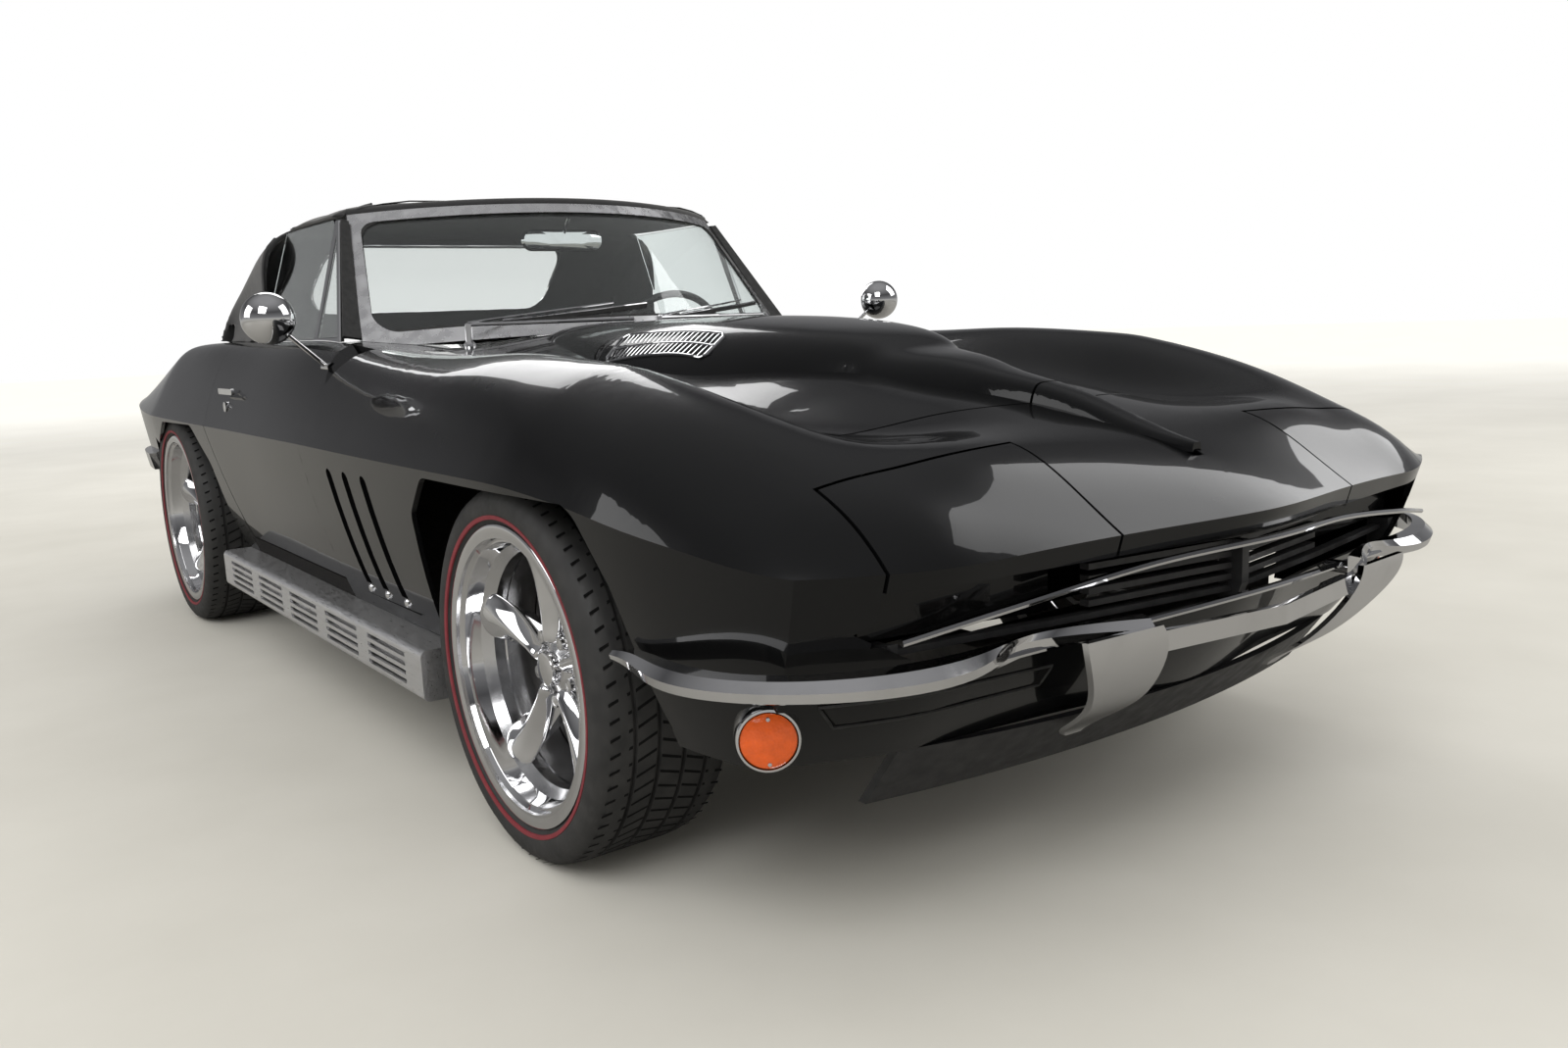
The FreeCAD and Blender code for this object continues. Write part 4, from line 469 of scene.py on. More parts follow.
def sipes(centre, radius, width, side):
    """Narrow strips of painted shade for the cuts across the ribs, slanted as on the photographed tread."""
    parts = []
    count = 72
    spans = ((-0.44, -0.29), (-0.25, -0.115), (-0.075, 0.075), (0.115, 0.25), (0.29, 0.44))
    for step in range(count):
        for row, (start, end) in enumerate(spans):
            angle = math.tau * (step + 0.5 * (row % 2)) / count
            slant = 0.020 * (1 if row < 3 else -1)
            corners = []
            for share in (0.0, 1.0):
                turn = angle + slant * (share - 0.5) * 2
                at = (start + share * (end - start)) * width * side
                drop = 0.0005 if abs(start + share * (end - start)) < 0.40 else 0.0045
                reach = radius - drop
                for wide in (-0.0026, 0.0026):
                    here = turn + wide / radius
                    corners.append(Vector((centre[0] + at, centre[1] + reach * math.sin(here),
                                           centre[2] + reach * math.cos(here))))
            parts.append((corners, [(0, 1, 3, 2)]))
    return joined(parts)


# Near-black for painted shade in cuts, slots and openings
shade_black = plain("painted_shade", (0.004, 0.004, 0.004), (0.007, 0.007, 0.007), (0.9, 1.0), 0.0, 60.0,
                     ((300.0, 0.1, 0.0005),), specular=0.1)


def wheel_dress(end, name, side):
    """A grooved tyre with its red ring, and the rim's lip, cap and nuts."""
    hub_side, axle_y, radius, bead, width = wheel_sizes[end]
    centre = (side * hub_side, axle_y, radius)
    body = end + "_wheel_" + name
    label = "_" + end + "_" + name
    axis = (side, 0, 0)
    points, faces = turned(tyre_profile(radius - 0.0004, bead, width), centre, axis, 128)
    tyre = piece("grooved_tyre" + label, points, faces, rubber, body)
    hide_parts("tyre" + label)
    piece("sipe_shade" + label, *sipes(centre, radius + 0.0003, width, side), shade_black, body)
    half = width / 2
    ring_radius = bead + 0.031
    ring = [(half - 0.0050, ring_radius - 0.004), (half - 0.0022, ring_radius - 0.0035),
            (half - 0.0014, ring_radius), (half - 0.0012, ring_radius + 0.0035),
            (half - 0.004, ring_radius + 0.004)]
    piece("red_ring" + label, *turned(ring, centre, axis, 128), red_ring, body)
    lip = half - lip_inset
    rim_lip = [(lip - 0.010, bead + 0.0172), (lip + 0.0006, bead + 0.0185), (lip + 0.0022, bead + 0.0150),
               (lip + 0.0018, bead + 0.0060), (lip - 0.0010, bead - 0.0030), (lip - 0.014, bead - 0.0095),
               (lip - 0.016, bead - 0.0060), (lip - 0.004, bead + 0.004)]
    piece("rim_lip" + label, *turned(rim_lip, centre, axis, 128), chrome, body)
    cap = [(0.036, 0.0), (0.036, 0.030), (0.050, 0.031), (0.0545, 0.029), (0.0560, 0.024), (0.0570, 0.012),
           (0.0572, 0.0)]
    piece("hub_cap" + label, *turned(cap, centre, axis, 48, False), chrome, body)
    nuts = []
    for step in range(spoke_count):
        angle = math.tau * (step + 0.5) / spoke_count
        at = (centre[0] + side * 0.024, centre[1] + nut_circle * math.sin(angle),
              centre[2] + nut_circle * math.cos(angle))
        nut = [(-0.002, 0.0), (-0.002, 0.0125), (0.0015, 0.0135), (0.010, 0.0118), (0.0165, 0.0085),
               (0.0195, 0.0)]
        nuts.append(turned(nut, at, axis, 18, False))
    piece("lug_nuts" + label, *joined(nuts), chrome, body)
    # A dark disc behind the spokes: painted shade inside the wheel
    shade = [(-0.034, 0.060), (-0.034, bead - 0.036), (-0.030, bead - 0.036), (-0.030, 0.060)]
    piece("brake_shade" + label, *turned(shade, centre, axis, 64), black_steel, body)


for end in wheel_sizes:
    for name, side in SIDES:
        wheel_dress(end, name, side)


# Grille strips, lamp bezels and the louvred vents
def nose_line(x):
    """Y of the nose's edge at a distance from the middle, up to the last of its places."""
    sides = (0.0, 0.226, 0.437, 0.515, 0.585, 0.709)
    places = (-2.188, -2.156, -2.127, -2.118, -2.108, -2.063)
    x = abs(x)
    for k in range(len(sides) - 1):
        if x <= sides[k + 1]:
            share = (x - sides[k]) / (sides[k + 1] - sides[k])
            return places[k] + share * (places[k + 1] - places[k])


def grille_strips():
    """Bright strips along the top and the bottom of the grille's mouth."""
    strip = [(-0.004, -0.004), (0.004, -0.004), (0.006, 0.0), (0.004, 0.004), (-0.004, 0.004)]
    top = smooth_path([(x, nose_line(x) - 0.006, 0.556 - 0.062 * (x / 0.69) ** 2)
                       for x in (-0.66, -0.5, -0.25, 0.0, 0.25, 0.5, 0.66)])
    low = smooth_path([(x, nose_line(x) + 0.020, 0.470 - 0.018 * abs(x / 0.4))
                       for x in (-0.60, -0.3, 0.0, 0.3, 0.60)])
    piece("grille_top_strip", *swept(top, strip), chrome)
    piece("grille_low_strip", *swept(low, strip), chrome)


grille_strips()


def turn_lamps():
    """A deep bright bezel, a domed lens and two screws on each turn lamp."""
    angle = math.radians(32)
    for name, side in SIDES:
        way = Vector((side * math.sin(angle), -math.cos(angle), 0))
        face = Vector((side * 0.7586, -1.9287, 0.364)) + way * 0.007
        bezel = [(-0.030, 0.0384), (-0.030, 0.0440), (0.014, 0.0440), (0.0175, 0.0425), (0.0180, 0.0395),
                 (0.0150, 0.0384)]
        piece("turn_bezel_" + name, *turned(bezel, face, way, 64), chrome)
        dome = [(0.0162, 0.0), (0.0262, 0.0), (0.0255, 0.010), (0.0235, 0.018), (0.0215, 0.027),
                (0.0190, 0.034), (0.0165, 0.0375)]
        piece("turn_dome_" + name, *turned(dome, face, way, 48, False), amber)
        screw = [(0.0200, 0.0), (0.0200, 0.0032), (0.0222, 0.0026), (0.0228, 0.0)]
        screws = []
        for rise in (-1, 1):
            at = face + Vector((0, 0, rise * 0.0305))
            screws.append(turned(screw, at, way, 16, False))
        piece("turn_screws_" + name, *joined(screws), chrome)


turn_lamps()


def louvre_vents():
    """A bright frame of flat slats with a middle bar and painted shade behind them, on each side of the
    hood's bulge.
    """
    count = 22
    slat = [(-0.0030, 0.0), (-0.0024, 0.0018), (0.0024, 0.0018), (0.0030, 0.0)]
    for name, side in SIDES:
        start = Vector((side * 0.262, -1.118, 0.0))
        end = Vector((side * 0.300, -0.770, 0.0))
        frame_points = []
        slats = []
        lift = 0.0022
        for step in range(count + 1):
            share = step / count
            at = start.lerp(end, share)
            reach = 0.040 if step in (0, count) else 0.058
            stops = [(at.x + side * sign * reach / 2, at.y, 1.3) for sign in (-1, 1)]
            frame_points.append(cast_path(("hood",), stops, (0, 0, -1), lift))
        rim = [a for a, b in frame_points] + [b for a, b in reversed(frame_points)]
        piece("vent_frame_" + name, *swept(rim, round_outline(0.0034, 8), closed=True), chrome, "hood")
        # A sheet of painted shade behind the slats, where the openings are dark
        vent_shade_points = [point for pair in frame_points for point in pair]
        faces = [(2 * k, 2 * k + 1, 2 * k + 3, 2 * k + 2) for k in range(len(frame_points) - 1)]
        piece("vent_shade_" + name, vent_shade_points, faces, shade_black, "hood")
        for k in range(len(frame_points) - 1):
            low_a, high_a = frame_points[k]
            low_b, high_b = frame_points[k + 1]
            low, high = low_a.lerp(low_b, 0.4), high_a.lerp(high_b, 0.6)
            slats.append(swept([low, high], slat))
        middle = [low.lerp(high, 0.5) for low, high in frame_points]
        slats.append(swept(middle, round_outline(0.0032, 8)))
        piece("vent_slats_" + name, *joined(slats), chrome, "hood")


louvre_vents()


# Spokes: broad, curved leaves over the cast ones
def spoke_leaf(centre, side, bead, lip, angle):
    """One broad leaf; each row gives its reach, half width, height off the hub's face and crown."""
    rows = ((0.045, 0.024, 0.0450, 0.012), (0.070, 0.0225, 0.0400, 0.014), (0.105, 0.029, 0.0400, 0.016),
            (0.150, 0.040, 0.0440, 0.016), (0.190, 0.052, 0.0540, 0.013),
            (bead - 0.012, 0.062, lip - 0.040, 0.008))
    outline = ((-1.0, -0.9), (-0.72, -0.15), (-0.38, 0.55), (0.0, 1.0), (0.38, 0.55), (0.72, -0.15),
               (1.0, -0.9), (0.6, -1.6), (-0.6, -1.6))
    points = []
    for reach, half, face, crown in rows:
        for across, rise in outline:
            turn = angle + across * half / reach * 0.92
            points.append((centre[0] + side * (face + rise * crown),
                           centre[1] + reach * math.sin(turn), centre[2] + reach * math.cos(turn)))
    return points, ring_faces(len(rows), len(outline))


def spokes(end, name, side):
    """The leaves of one wheel and the barrel behind them."""
    hub_side, axle_y, radius, bead, width = wheel_sizes[end]
    centre = (side * hub_side, axle_y, radius)
    lip = width / 2 - lip_inset
    body = end + "_wheel_" + name
    label = "_" + end + "_" + name
    leaves = [spoke_leaf(centre, side, bead, lip, math.tau * step / spoke_count)
              for step in range(spoke_count)]
    obj = piece("spoke_leaves" + label, *joined(leaves), chrome, body, sharp=1.2)
    smoother = obj.modifiers.new("rounding", "SUBSURF")
    smoother.levels = 2
    smoother.render_levels = 2
    barrel = [(lip - 0.014, bead - 0.0095), (lip - 0.030, bead - 0.0125), (lip - 0.085, bead - 0.030),
              (lip - 0.085, bead - 0.034), (lip - 0.030, bead - 0.016), (lip - 0.014, bead - 0.013)]
    piece("rim_barrel" + label, *turned(barrel, centre, (side, 0, 0), 96), chrome, body)


for end in wheel_sizes:
    for name, side in SIDES:
        spokes(end, name, side)


# Soft top: a cloth skin drawn over its bows, with welts and bound edges
def remeshed(name, source, voxel, smoothing):
    """A copy of a CAD solid as one even skin."""
    obj = bpy.data.objects.new(name, source.data.copy())
    obj.matrix_world = source.matrix_world.copy()
    scene.collection.objects.link(obj)
    even = obj.modifiers.new("even", "REMESH")
    even.mode = "VOXEL"
    even.voxel_size = voxel
    soft = obj.modifiers.new("soft", "SMOOTH")
    soft.factor = 0.5
    soft.iterations = smoothing
    graph = bpy.context.evaluated_depsgraph_get()
    mesh = bpy.data.meshes.new_from_object(obj.evaluated_get(graph))
    mesh.transform(obj.matrix_world)
    bpy.data.objects.remove(obj)
    result = bpy.data.objects.new(name, mesh)
    scene.collection.objects.link(result)
    for face in mesh.polygons:
        face.use_smooth = True
    return result


def cloth_top():
    """The top's canvas: it sags between the bows and has folds and fine creases."""
    obj = remeshed("cloth_top", nodes["soft_top"], 0.0065, 3)
    mesh = obj.data
    bows = (-0.02, 0.20, 0.42, 0.62, 0.98)
    normals = [vertex.normal.copy() for vertex in mesh.vertices]
    for vertex, normal in zip(mesh.vertices, normals):
        place = vertex.co
        if normal.z > 0.15 or abs(normal.x) > 0.4 or normal.y > 0.2:
            sag = 0.0
            for near, far in zip(bows, bows[1:]):
                if near < place.y < far:
                    share = (place.y - near) / (far - near)
                    sag = math.sin(math.pi * share) ** 2
            crease = field.noise(Vector((place.x * 5, place.y * 9, place.z * 6)))
            fine = field.noise(Vector((place.x * 26, place.y * 11, place.z * 19)))
            vertex.co = place - normal * (0.0022 * sag + 0.0009 * (crease + 1) + 0.0003 * (fine + 1))
    mesh.materials.clear()
    mesh.materials.append(canvas)
    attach(obj, "body")
    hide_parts("soft_top")


def top_seams():
    """Welts along the roof, and bindings at the quarters, the rear window and the front edge."""
    top = ("soft_top",)
    welt = round_outline(0.0032, 8)
    binding = [(-0.009, -0.001), (-0.008, 0.0012), (0.008, 0.0012), (0.009, -0.001)]
    for name, side in SIDES:
        roof = [(side * (0.50 - 0.03 * k / 14), 0.03 + 0.058 * k, 2.0) for k in range(15)]
        piece("roof_welt_" + name, *swept(cast_path(top, roof, (0, 0, -1), 0.0004), welt), canvas)
        quarter = [(side * 2.0, 0.634 + 0.0012 * k, 1.20 - 0.0245 * k) for k in range(12)]
        path = cast_path(top, quarter, (-side, 0, 0), 0.0006)
        piece("quarter_binding_" + name, *swept(path, binding, up=Vector((side, 0, 0))), vinyl_black)
    half, low, high, corner = 0.452, 0.963, 1.212, 0.085
    ring = []
    for cx, cz, start in ((half - corner, high - corner, 0), (-half + corner, high - corner, 90),
                          (-half + corner, low + corner, 180), (half - corner, low + corner, 270)):
        for step in range(7):
            angle = math.radians(start + 15 * step)
            ring.append((cx + corner * math.cos(angle), 3.0, cz + corner * math.sin(angle)))
    path = cast_path(top, ring, (0, -1, 0), 0.0006)
    piece("rear_window_binding", *swept(path, binding, up=Vector((0, 1, 0.3)).normalized(), closed=True),
          vinyl_black)
    header = []
    for k in range(-9, 10):
        x = 0.060 * k
        header.append((x, -0.0225 + 0.52 * x * x, 2.0))
    piece("header_binding", *swept(cast_path(top, header, (0, 0, -1), 0.0006), binding), vinyl_black)


cloth_top()
top_seams()


def header_roll():
    """The padded front edge of the top, drawn down over the windshield's top rail."""
    stops = [screen_point(x, 1.2265 + crown(x, screen_top_half), 0.002) for x in
             (-0.560, -0.50, -0.42, -0.30, -0.15, 0.0, 0.15, 0.30, 0.42, 0.50, 0.560)]
    roll = [(0.013 * math.cos(math.tau * k / 12), 0.0125 * math.sin(math.tau * k / 12)) for k in range(12)]
    piece("header_roll", *swept(smooth_path(stops, 4), roll), canvas)


def pillar_seals():
    """A rubber strip between each windshield pillar and the vent window of the door."""
    strip = [(-0.004, -0.023), (0.004, -0.023), (0.004, 0.021), (-0.004, 0.021)]
    top_strip = [(-0.004, -0.010), (0.004, -0.010), (0.004, 0.010), (-0.004, 0.010)]
    for name, side in SIDES:
        low = Vector((side * 0.662, -0.101, 0.902))
        high = Vector((side * 0.580, 0.120, 1.204))
        points, faces = swept([low, high], strip, up=Vector((side, 0, 0)))
        size = len(strip)
        thin, _ = swept([low, high], top_strip, up=Vector((side, 0, 0)))
        points = points[:size] + thin[size:]
        piece("pillar_seal_" + name, points, faces, seal)


def wiper_dress():
    """A tapered boss round each wiper's post, with its sprung arm and rubber blade."""
    cowl_y, cowl_bow = -0.3618, 1.1196
    blade = [(-0.0016, -0.005), (0.0016, -0.005), (0.0022, 0.004), (-0.0022, 0.004)]
    bosses, blades = [], []
    for x in (0.070, -0.430):
        fall = cowl_bow - math.sqrt(cowl_bow ** 2 - x * x)
        place = Vector((x, cowl_y + fall, 2.0))
        spot, _ = hit(("front_body", "hood", "cabin_tub"), place, (0, 0, -1))
        boss = [(-0.010, 0.0), (-0.010, 0.016), (0.004, 0.015), (0.010, 0.0095), (0.924 - spot.z, 0.0085),
                (0.930 - spot.z, 0.0)]
        bosses.append(turned(boss, spot, (0, 0, 1), 24, False))
        top = Vector((spot.x, spot.y, 0.928))
        stops = [top, screen_point(x + 0.12, 0.940, -0.026), screen_point(x + 0.27, 0.954, -0.020),
                 screen_point(x + 0.40, 0.966, -0.014)]
        bosses.append(swept(smooth_path(stops, 6), round_outline(0.0042, 8, 0.7)))
        spine = [screen_point(x + 0.10 + 0.045 * k, 0.931 + 0.0035 * k, -0.010) for k in range(10)]
        bosses.append(swept(spine, round_outline(0.0026, 6)))
        blades.append(swept([point - Vector((0, 0, 0.006)) for point in spine], blade))
    piece("wiper_bosses", *joined(bosses), chrome)
    piece("wiper_blades", *joined(blades), seal)


# Seats: pleated cushions and backs
def pleated_seat(name, side):
    """A seat whose cushion and back have sewn channels."""
    obj = remeshed("pleated_seat_" + name, nodes["seat_" + name], 0.006, 8)
    mesh = obj.data
    middle, pleated_half, pitch = side * 0.375, 0.165, 0.047
    normals = [vertex.normal.copy() for vertex in mesh.vertices]
    for vertex, normal in zip(mesh.vertices, normals):
        place = vertex.co
        across = place.x - middle
        facing = max(normal.z, -normal.y)
        if abs(across) < pleated_half and facing > 0.6:
            offset = (across + pitch / 2) % pitch - pitch / 2
            seam = math.exp(-(offset / 0.0075) ** 2)
            edge = min(1.0, (pleated_half - abs(across)) / 0.02)
            vertex.co = place - normal * (0.007 * seam * edge + 0.0015)
    mesh.materials.clear()
    mesh.materials.append(seat_hide)
    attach(obj, "body")
    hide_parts("seat_" + name)


for name, side in SIDES:
    pleated_seat(name, side)


# Windshield: its curved plane lies between a base arc and a top arc
screen_base, screen_rise = 0.897, 0.325
screen_base_y, screen_rake = -0.3184, 0.102 * 2.489
screen_base_half, screen_top_half, screen_bow = 0.640, 0.566, 0.2165
screen_crown = 0.020


def crown(x, half):
    """How far a rail rises at a distance from the middle."""
    return screen_crown * (1 - (x / half) ** 2)


def screen_point(x, z, back=0.0):
    """A point on the windshield's curved plane."""
    share = (z - crown(x, 0.60) - screen_base) / screen_rise
    centre = screen_base_y + share * screen_rake
    side = screen_base_half + share * (screen_top_half - screen_base_half)
    radius = (side * side + screen_bow ** 2) / (2 * screen_bow)
    return Vector((x, centre + radius - math.sqrt(radius * radius - x * x) + back, z))


def windshield_seal():
    """A rubber bead round the windshield's pane."""
    low, high, corner = 0.9095, 1.1975, 0.040
    low_side, high_side = 0.6128, 0.5470
    ring = []
    for k in range(-12, 13):
        x = k / 12 * (low_side - corner)
        ring.append(screen_point(x, low + crown(x, low_side)))
    ring.append(screen_point(low_side - 0.010, low + 0.014))
    for k in range(1, 8):
        share = k / 8
        ring.append(screen_point(low_side + share * (high_side - low_side), low + share * (high - low)))
    ring.append(screen_point(high_side - 0.010, high - 0.012))
    for k in range(12, -13, -1):
        x = k / 12 * (high_side - corner)
        ring.append(screen_point(x, high + crown(x, high_side)))
    ring.append(screen_point(-high_side + 0.010, high - 0.012))
    for k in range(7, 0, -1):
        share = k / 8
        ring.append(screen_point(-low_side - share * (high_side - low_side), low + share * (high - low)))
    ring.append(screen_point(-low_side + 0.010, low + 0.014))
    facing = Vector((0, -1, 0.5)).normalized()
    piece("windshield_seal", *swept(ring, round_outline(0.0055, 8), up=facing, closed=True), seal)


windshield_seal()
header_roll()
pillar_seals()
wiper_dress()


# Cabin: the inside mirror
def pill(half_width, half_height, depth, centre):
    """A rounded oblong block facing along Y, softer at its back."""
    sides = 10
    outline = []
    for cx, start in ((half_width - half_height, -90), (half_height - half_width, 90)):
        for step in range(sides + 1):
            angle = math.radians(start + 180 * step / sides)
            outline.append((cx + half_height * math.cos(angle), half_height * math.sin(angle)))
    rows = ((0.0, 0.97), (0.1, 1.0), (0.6, 0.97), (0.9, 0.80), (1.0, 0.45))
    points = []
    for at, scale in rows:
        y = centre[1] - at * depth
        points.extend((centre[0] + a * scale, y, centre[2] + b * scale) for a, b in outline)
    return points, ring_faces(len(rows), len(outline))


piece("inside_mirror", *pill(0.125, 0.030, 0.026, (0.0, 0.035, 1.150)), chrome)
mirror_arm = smooth_path([(0.0, 0.020, 1.155), (0.0, 0.005, 1.185), (0.0, -0.018, 1.208)])
piece("inside_mirror_arm", *swept(mirror_arm, round_outline(0.0045, 10)), chrome)


# Instruments on the dashboard
def instruments():
    """Bright rings, dark faces and plain marks; each dial has its place and radius."""
    dial_black = plain("dial_face", (0.006, 0.006, 0.006), (0.010, 0.010, 0.010), (0.5, 0.6), 0.0, 90.0,
                       ((300.0, 0.1, 0.0004),))
    dial_white = plain("dial_marks", (0.75, 0.75, 0.72), (0.80, 0.80, 0.78), (0.5, 0.6), 0.0, 90.0,
                       ((300.0, 0.1, 0.0004),))
    rings, faces_black, marks = [], [], []
    dials = ((0.305, 0.775, 0.056), (0.445, 0.775, 0.056), (0.205, 0.800, 0.026), (0.205, 0.740, 0.026),
             (0.0, 0.790, 0.030), (-0.075, 0.790, 0.026), (0.075, 0.790, 0.026))
    for x, z, radius in dials:
        spot, normal = hit(("dashboard",), (x, 1.0, z), (0, -1, 0))
        y = spot.y + 0.001
        ring = [(0.0, radius - 0.003), (0.010, radius - 0.002), (0.012, radius), (0.010, radius + 0.004),
                (0.0, radius + 0.005)]
        rings.append(turned(ring, (x, y, z), (0, 1, 0), 40))
        faces_black.append(turned([(0.0, 0.0), (0.003, 0.0), (0.003, radius - 0.001), (0.0, radius - 0.001)],
                                  (x, y, z), (0, 1, 0), 40, False))
        for step in range(13):
            angle = math.radians(-130 + 260 * step / 12)
            way = Vector((-math.sin(angle), 0, math.cos(angle)))
            across = Vector((math.cos(angle), 0, math.sin(angle))) * 0.0008
            centre = Vector((x, y + 0.0036, z))
            near, far = centre + way * radius * 0.74, centre + way * radius * 0.90
            marks.append(([near - across, near + across, far + across, far - across], [(0, 1, 2, 3)]))
        needle = Vector((-math.sin(-1.9), 0, math.cos(-1.9)))
        across = Vector((needle.z, 0, -needle.x)) * 0.0012
        centre = Vector((x, y + 0.0042, z))
        marks.append(([centre - across, centre + across, centre + needle * radius * 0.7], [(0, 1, 2)]))
    piece("dial_rings", *joined(rings), chrome)
    piece("dial_faces", *joined(faces_black), dial_black)
    piece("dial_marks", *joined(marks), dial_white)


instruments()


# Lamps: round headlamps on the turning pods, and the tail lamps' bezels
def headlamp_glass():
    """Two ringed lenses on each pod, facing back while the pod is closed."""
    ring = [(0.0, 0.0735), (0.010, 0.0735), (0.0125, 0.0765), (0.010, 0.080), (0.0, 0.0805)]
    bowl = [(0.001, 0.0), (0.0165, 0.0), (0.0155, 0.025), (0.0125, 0.048), (0.0085, 0.064), (0.004, 0.0725)]
    for name, side in SIDES:
        rings, lenses = [], []
        for offset in (-0.085, 0.085):
            centre = (side * (0.4865 + offset), -1.9313, 0.597)
            rings.append(turned(ring, centre, (0, 1, 0), 56))
            lenses.append(turned(bowl, centre, (0, 1, 0), 56, False))
        piece("headlamp_rings_" + name, *joined(rings), chrome, "headlamp_" + name)
        piece("headlamp_lenses_" + name, *joined(lenses), white_lens, "headlamp_" + name)


def tail_bezels():
    """An outer and an inner bright ring on each of the four tail lamps."""
    outer = [(-0.020, 0.0585), (-0.020, 0.0640), (0.0025, 0.0640), (0.0045, 0.0610), (0.003, 0.0585)]
    inner = [(0.0, 0.026), (0.0022, 0.0265), (0.0028, 0.0285), (0.0, 0.0300)]
    rings = []
    for x in (-0.500, -0.330, 0.330, 0.500):
        spot, normal = hit(("tail_lamps",), (x, 4.0, 0.630), (0, -1, 0))
        rings.append(turned(outer, spot, (0, 1, 0), 56))
        rings.append(turned(inner, spot, (0, 1, 0), 48))
    piece("tail_bezels", *joined(rings), chrome)


headlamp_glass()
tail_bezels()


# Painted shade for the recesses under the front bumpers, and the dress of the fenders' gills
def nose_slots():
    """A flat fill of painted shade, ringed with rubber, for the shallow recess under each half of the front
    bumper.
    """
    corners = ((0.715, 0.405), (0.684, 0.368), (0.361, 0.373), (0.356, 0.405))
    for name, side in SIDES:
        outline = []
        for (x, z), (next_x, next_z) in zip(corners, corners[1:] + corners[:1]):
            for step in range(6):
                share = step / 6
                outline.append((x + share * (next_x - x), z + share * (next_z - z)))
        path = cast_path(("front_body",), [(side * x, -3.0, z) for x, z in outline], (0, 1, 0), 0.0010)
        piece("nose_slot_rim_" + name, *swept(path, round_outline(0.0022, 6), closed=True), seal)
        middle = sum(path, Vector()) / len(path)
        faces = [(k, (k + 1) % len(path), len(path)) for k in range(len(path))]
        piece("nose_slot_" + name, path + [middle], faces, shade_black)


nose_slots()


def gill_dress():
    """A sheet of painted shade behind each fender's gills and a bright stud at the foot of each."""
    places = (-0.739, -0.627, -0.522)
    stud = [(-0.004, 0.0), (-0.004, 0.011), (0.003, 0.010), (0.006, 0.006), (0.007, 0.0)]
    for name, side in SIDES:
        x = side * 0.800
        piece("gill_shade_" + name, [(x, -0.80, 0.34), (x, -0.47, 0.34), (x, -0.47, 0.66), (x, -0.80, 0.66)],
              [(0, 1, 2, 3)], shade_black)
        ends = []
        for y in places:
            spot, normal = hit(("front_body",), (side * 2.0, y, 0.358), (-side, 0, 0))
            ends.append(turned(stud, spot, (side, 0, 0), 20, False))
        piece("gill_ends_" + name, *joined(ends), chrome)


gill_dress()


# Studio: pale floor, pale surroundings and soft lamps
def studio_floor():
    """A pale floor with a painted glow that turns it white far out, and a darker tone where the car mirrors
    it.
    """
    bpy.ops.mesh.primitive_plane_add(size=80.0, location=(0, 0, 0))
    floor = bpy.context.object
    floor.name = "studio_floor"
    material, tree, shader = new_material("studio_floor")
    vector = coords(tree)
    path = add(tree, "ShaderNodeLightPath")
    seen_tone = add(tree, "ShaderNodeMixRGB")
    seen_tone.inputs["Color2"].default_value = (0.27, 0.262, 0.24, 1)
    tree.links.new(path.outputs["Is Glossy Ray"], seen_tone.inputs["Fac"])
    vary(tree, seen_tone.inputs["Color1"], vector, 1.2, 8.0,
         (0.3, (0.56, 0.545, 0.495)), (0.7, (0.63, 0.615, 0.565)))
    tree.links.new(seen_tone.outputs["Color"], shader.inputs["Base Color"])
    shader.inputs["Roughness"].default_value = 0.7
    # Far out the floor glows: painted light that turns it white
    distance = add(tree, "ShaderNodeVectorMath", operation="LENGTH")
    tree.links.new(vector, distance.inputs[0])
    far = add(tree, "ShaderNodeMapRange")
    far.inputs["From Min"].default_value = 3.5
    far.inputs["From Max"].default_value = 16.0
    tree.links.new(distance.outputs["Value"], far.inputs["Value"])
    dim = add(tree, "ShaderNodeMath", operation="MULTIPLY_ADD")
    dim.inputs[1].default_value = -0.60
    dim.inputs[2].default_value = 1.0
    tree.links.new(path.outputs["Is Glossy Ray"], dim.inputs[0])
    glow = add(tree, "ShaderNodeMath", operation="MULTIPLY")
    tree.links.new(far.outputs["Result"], glow.inputs[0])
    tree.links.new(dim.outputs[0], glow.inputs[1])
    tree.links.new(glow.outputs[0], shader.inputs["Emission Strength"])
    shader.inputs["Emission Color"].default_value = (0.60, 0.60, 0.58, 1)
    floor.data.materials.append(material)


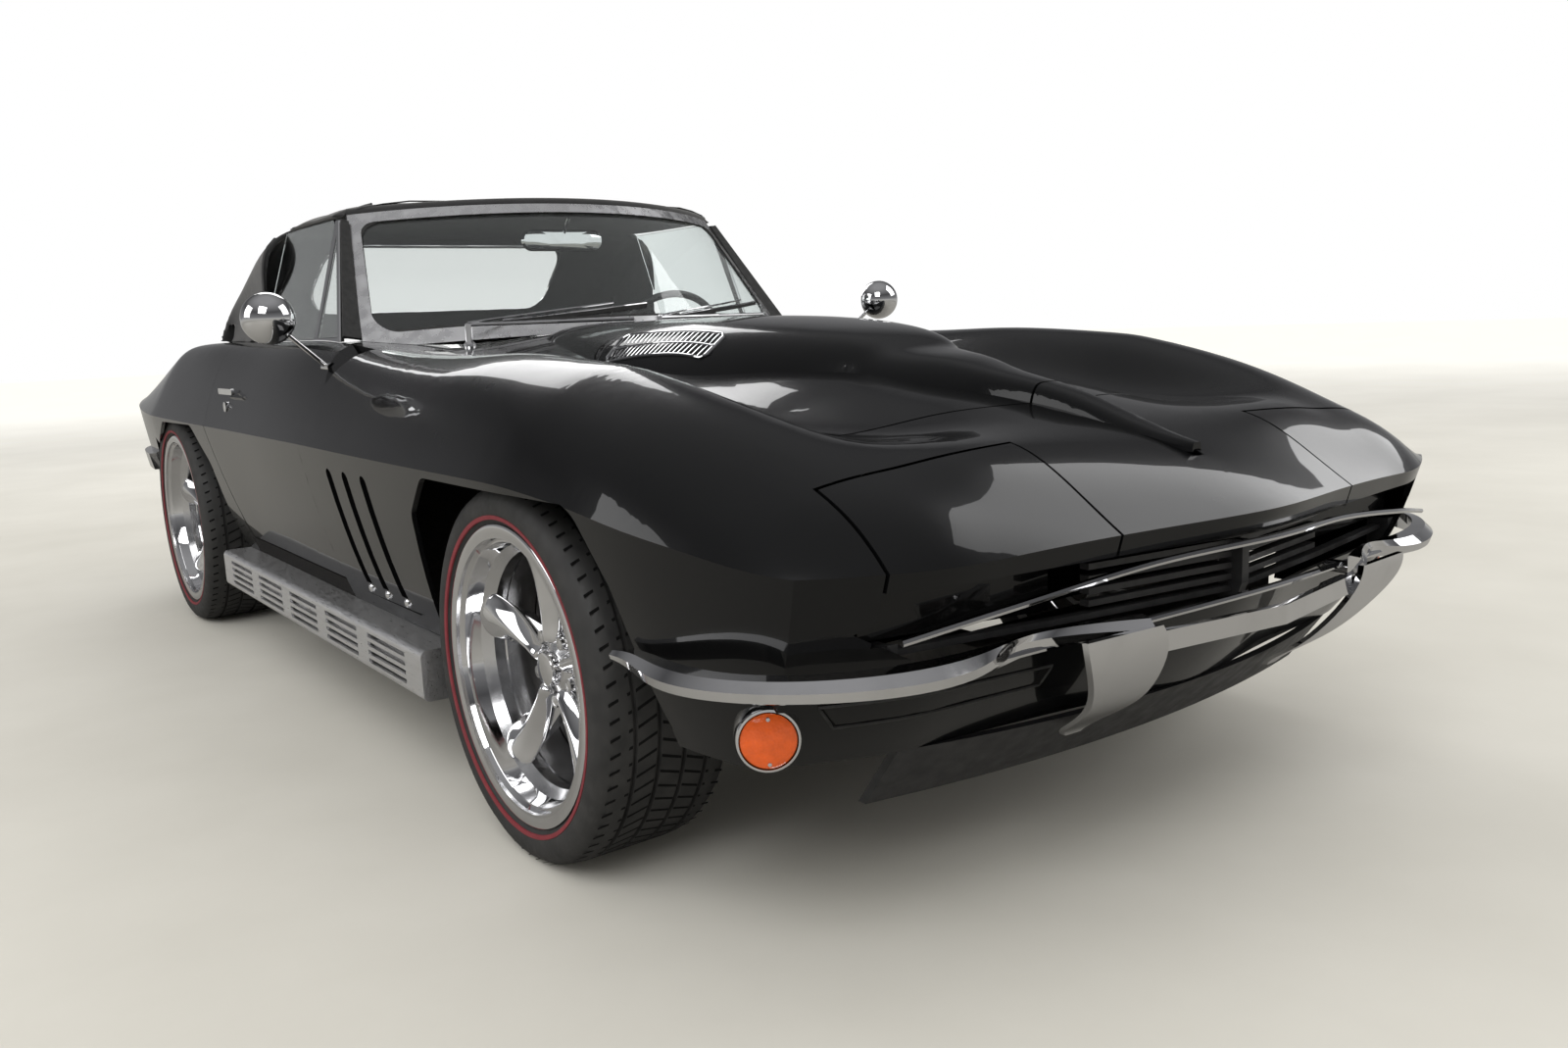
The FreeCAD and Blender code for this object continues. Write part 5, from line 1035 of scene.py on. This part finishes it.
def studio_world():
    """White behind the car, soft light on it, and a darker banded room in its gloss."""
    world = bpy.data.worlds.new("studio")
    scene.world = world
    world.use_nodes = True
    tree = world.node_tree
    back = tree.nodes["Background"]
    back.inputs["Color"].default_value = (0.86, 0.84, 0.80, 1)
    back.inputs["Strength"].default_value = 0.95
    white = add(tree, "ShaderNodeBackground")
    white.inputs["Color"].default_value = (1.0, 1.0, 1.0, 1)
    white.inputs["Strength"].default_value = 1.0
    mirrored_room = add(tree, "ShaderNodeBackground")
    sky = add(tree, "ShaderNodeTexCoord")
    split = add(tree, "ShaderNodeSeparateXYZ")
    tree.links.new(sky.outputs["Generated"], split.inputs[0])
    tree.links.new(ramp(tree, split.outputs["Z"], ((0.0, (0.42, 0.42, 0.41)), (0.10, (0.20, 0.20, 0.205)),
                                                  (0.45, (0.07, 0.07, 0.073)), (0.95, (0.30, 0.30, 0.305)))),
                   mirrored_room.inputs["Color"])
    mirrored_room.inputs["Strength"].default_value = 1.0
    path = add(tree, "ShaderNodeLightPath")
    seen = add(tree, "ShaderNodeMath", operation="MAXIMUM")
    tree.links.new(path.outputs["Is Camera Ray"], seen.inputs[0])
    tree.links.new(path.outputs["Is Transmission Ray"], seen.inputs[1])
    glossy = add(tree, "ShaderNodeMixShader")
    tree.links.new(path.outputs["Is Glossy Ray"], glossy.inputs["Fac"])
    tree.links.new(back.outputs[0], glossy.inputs[1])
    tree.links.new(mirrored_room.outputs[0], glossy.inputs[2])
    mix = add(tree, "ShaderNodeMixShader")
    tree.links.new(seen.outputs[0], mix.inputs["Fac"])
    tree.links.new(glossy.outputs[0], mix.inputs[1])
    tree.links.new(white.outputs[0], mix.inputs[2])
    tree.links.new(mix.outputs[0], tree.nodes["World Output"].inputs["Surface"])


def studio_lamps():
    """Four large soft lamps, each facing its own point."""
    for name, place, size, power, target in (
            ("key_lamp", (-4.5, -5.0, 5.5), 4.0, 260.0, (0, -0.8, 0.4)),
            ("side_lamp", (-6.5, 2.0, 3.5), 4.0, 120.0, (0, 0, 0.5)),
            ("fill_lamp", (5.5, -2.5, 4.5), 4.5, 130.0, (0, 0, 0.5)),
            ("back_lamp", (2.0, 6.5, 4.5), 4.0, 130.0, (0, 0.5, 0.5))):
        data = bpy.data.lights.new(name, "AREA")
        data.shape = "SQUARE"
        data.size = size
        data.energy = power
        lamp = bpy.data.objects.new(name, data)
        scene.collection.objects.link(lamp)
        lamp.location = place
        lamp.rotation_euler = (Vector(target) - Vector(place)).to_track_quat("-Z", "Y").to_euler()


studio_floor()
studio_world()
studio_lamps()
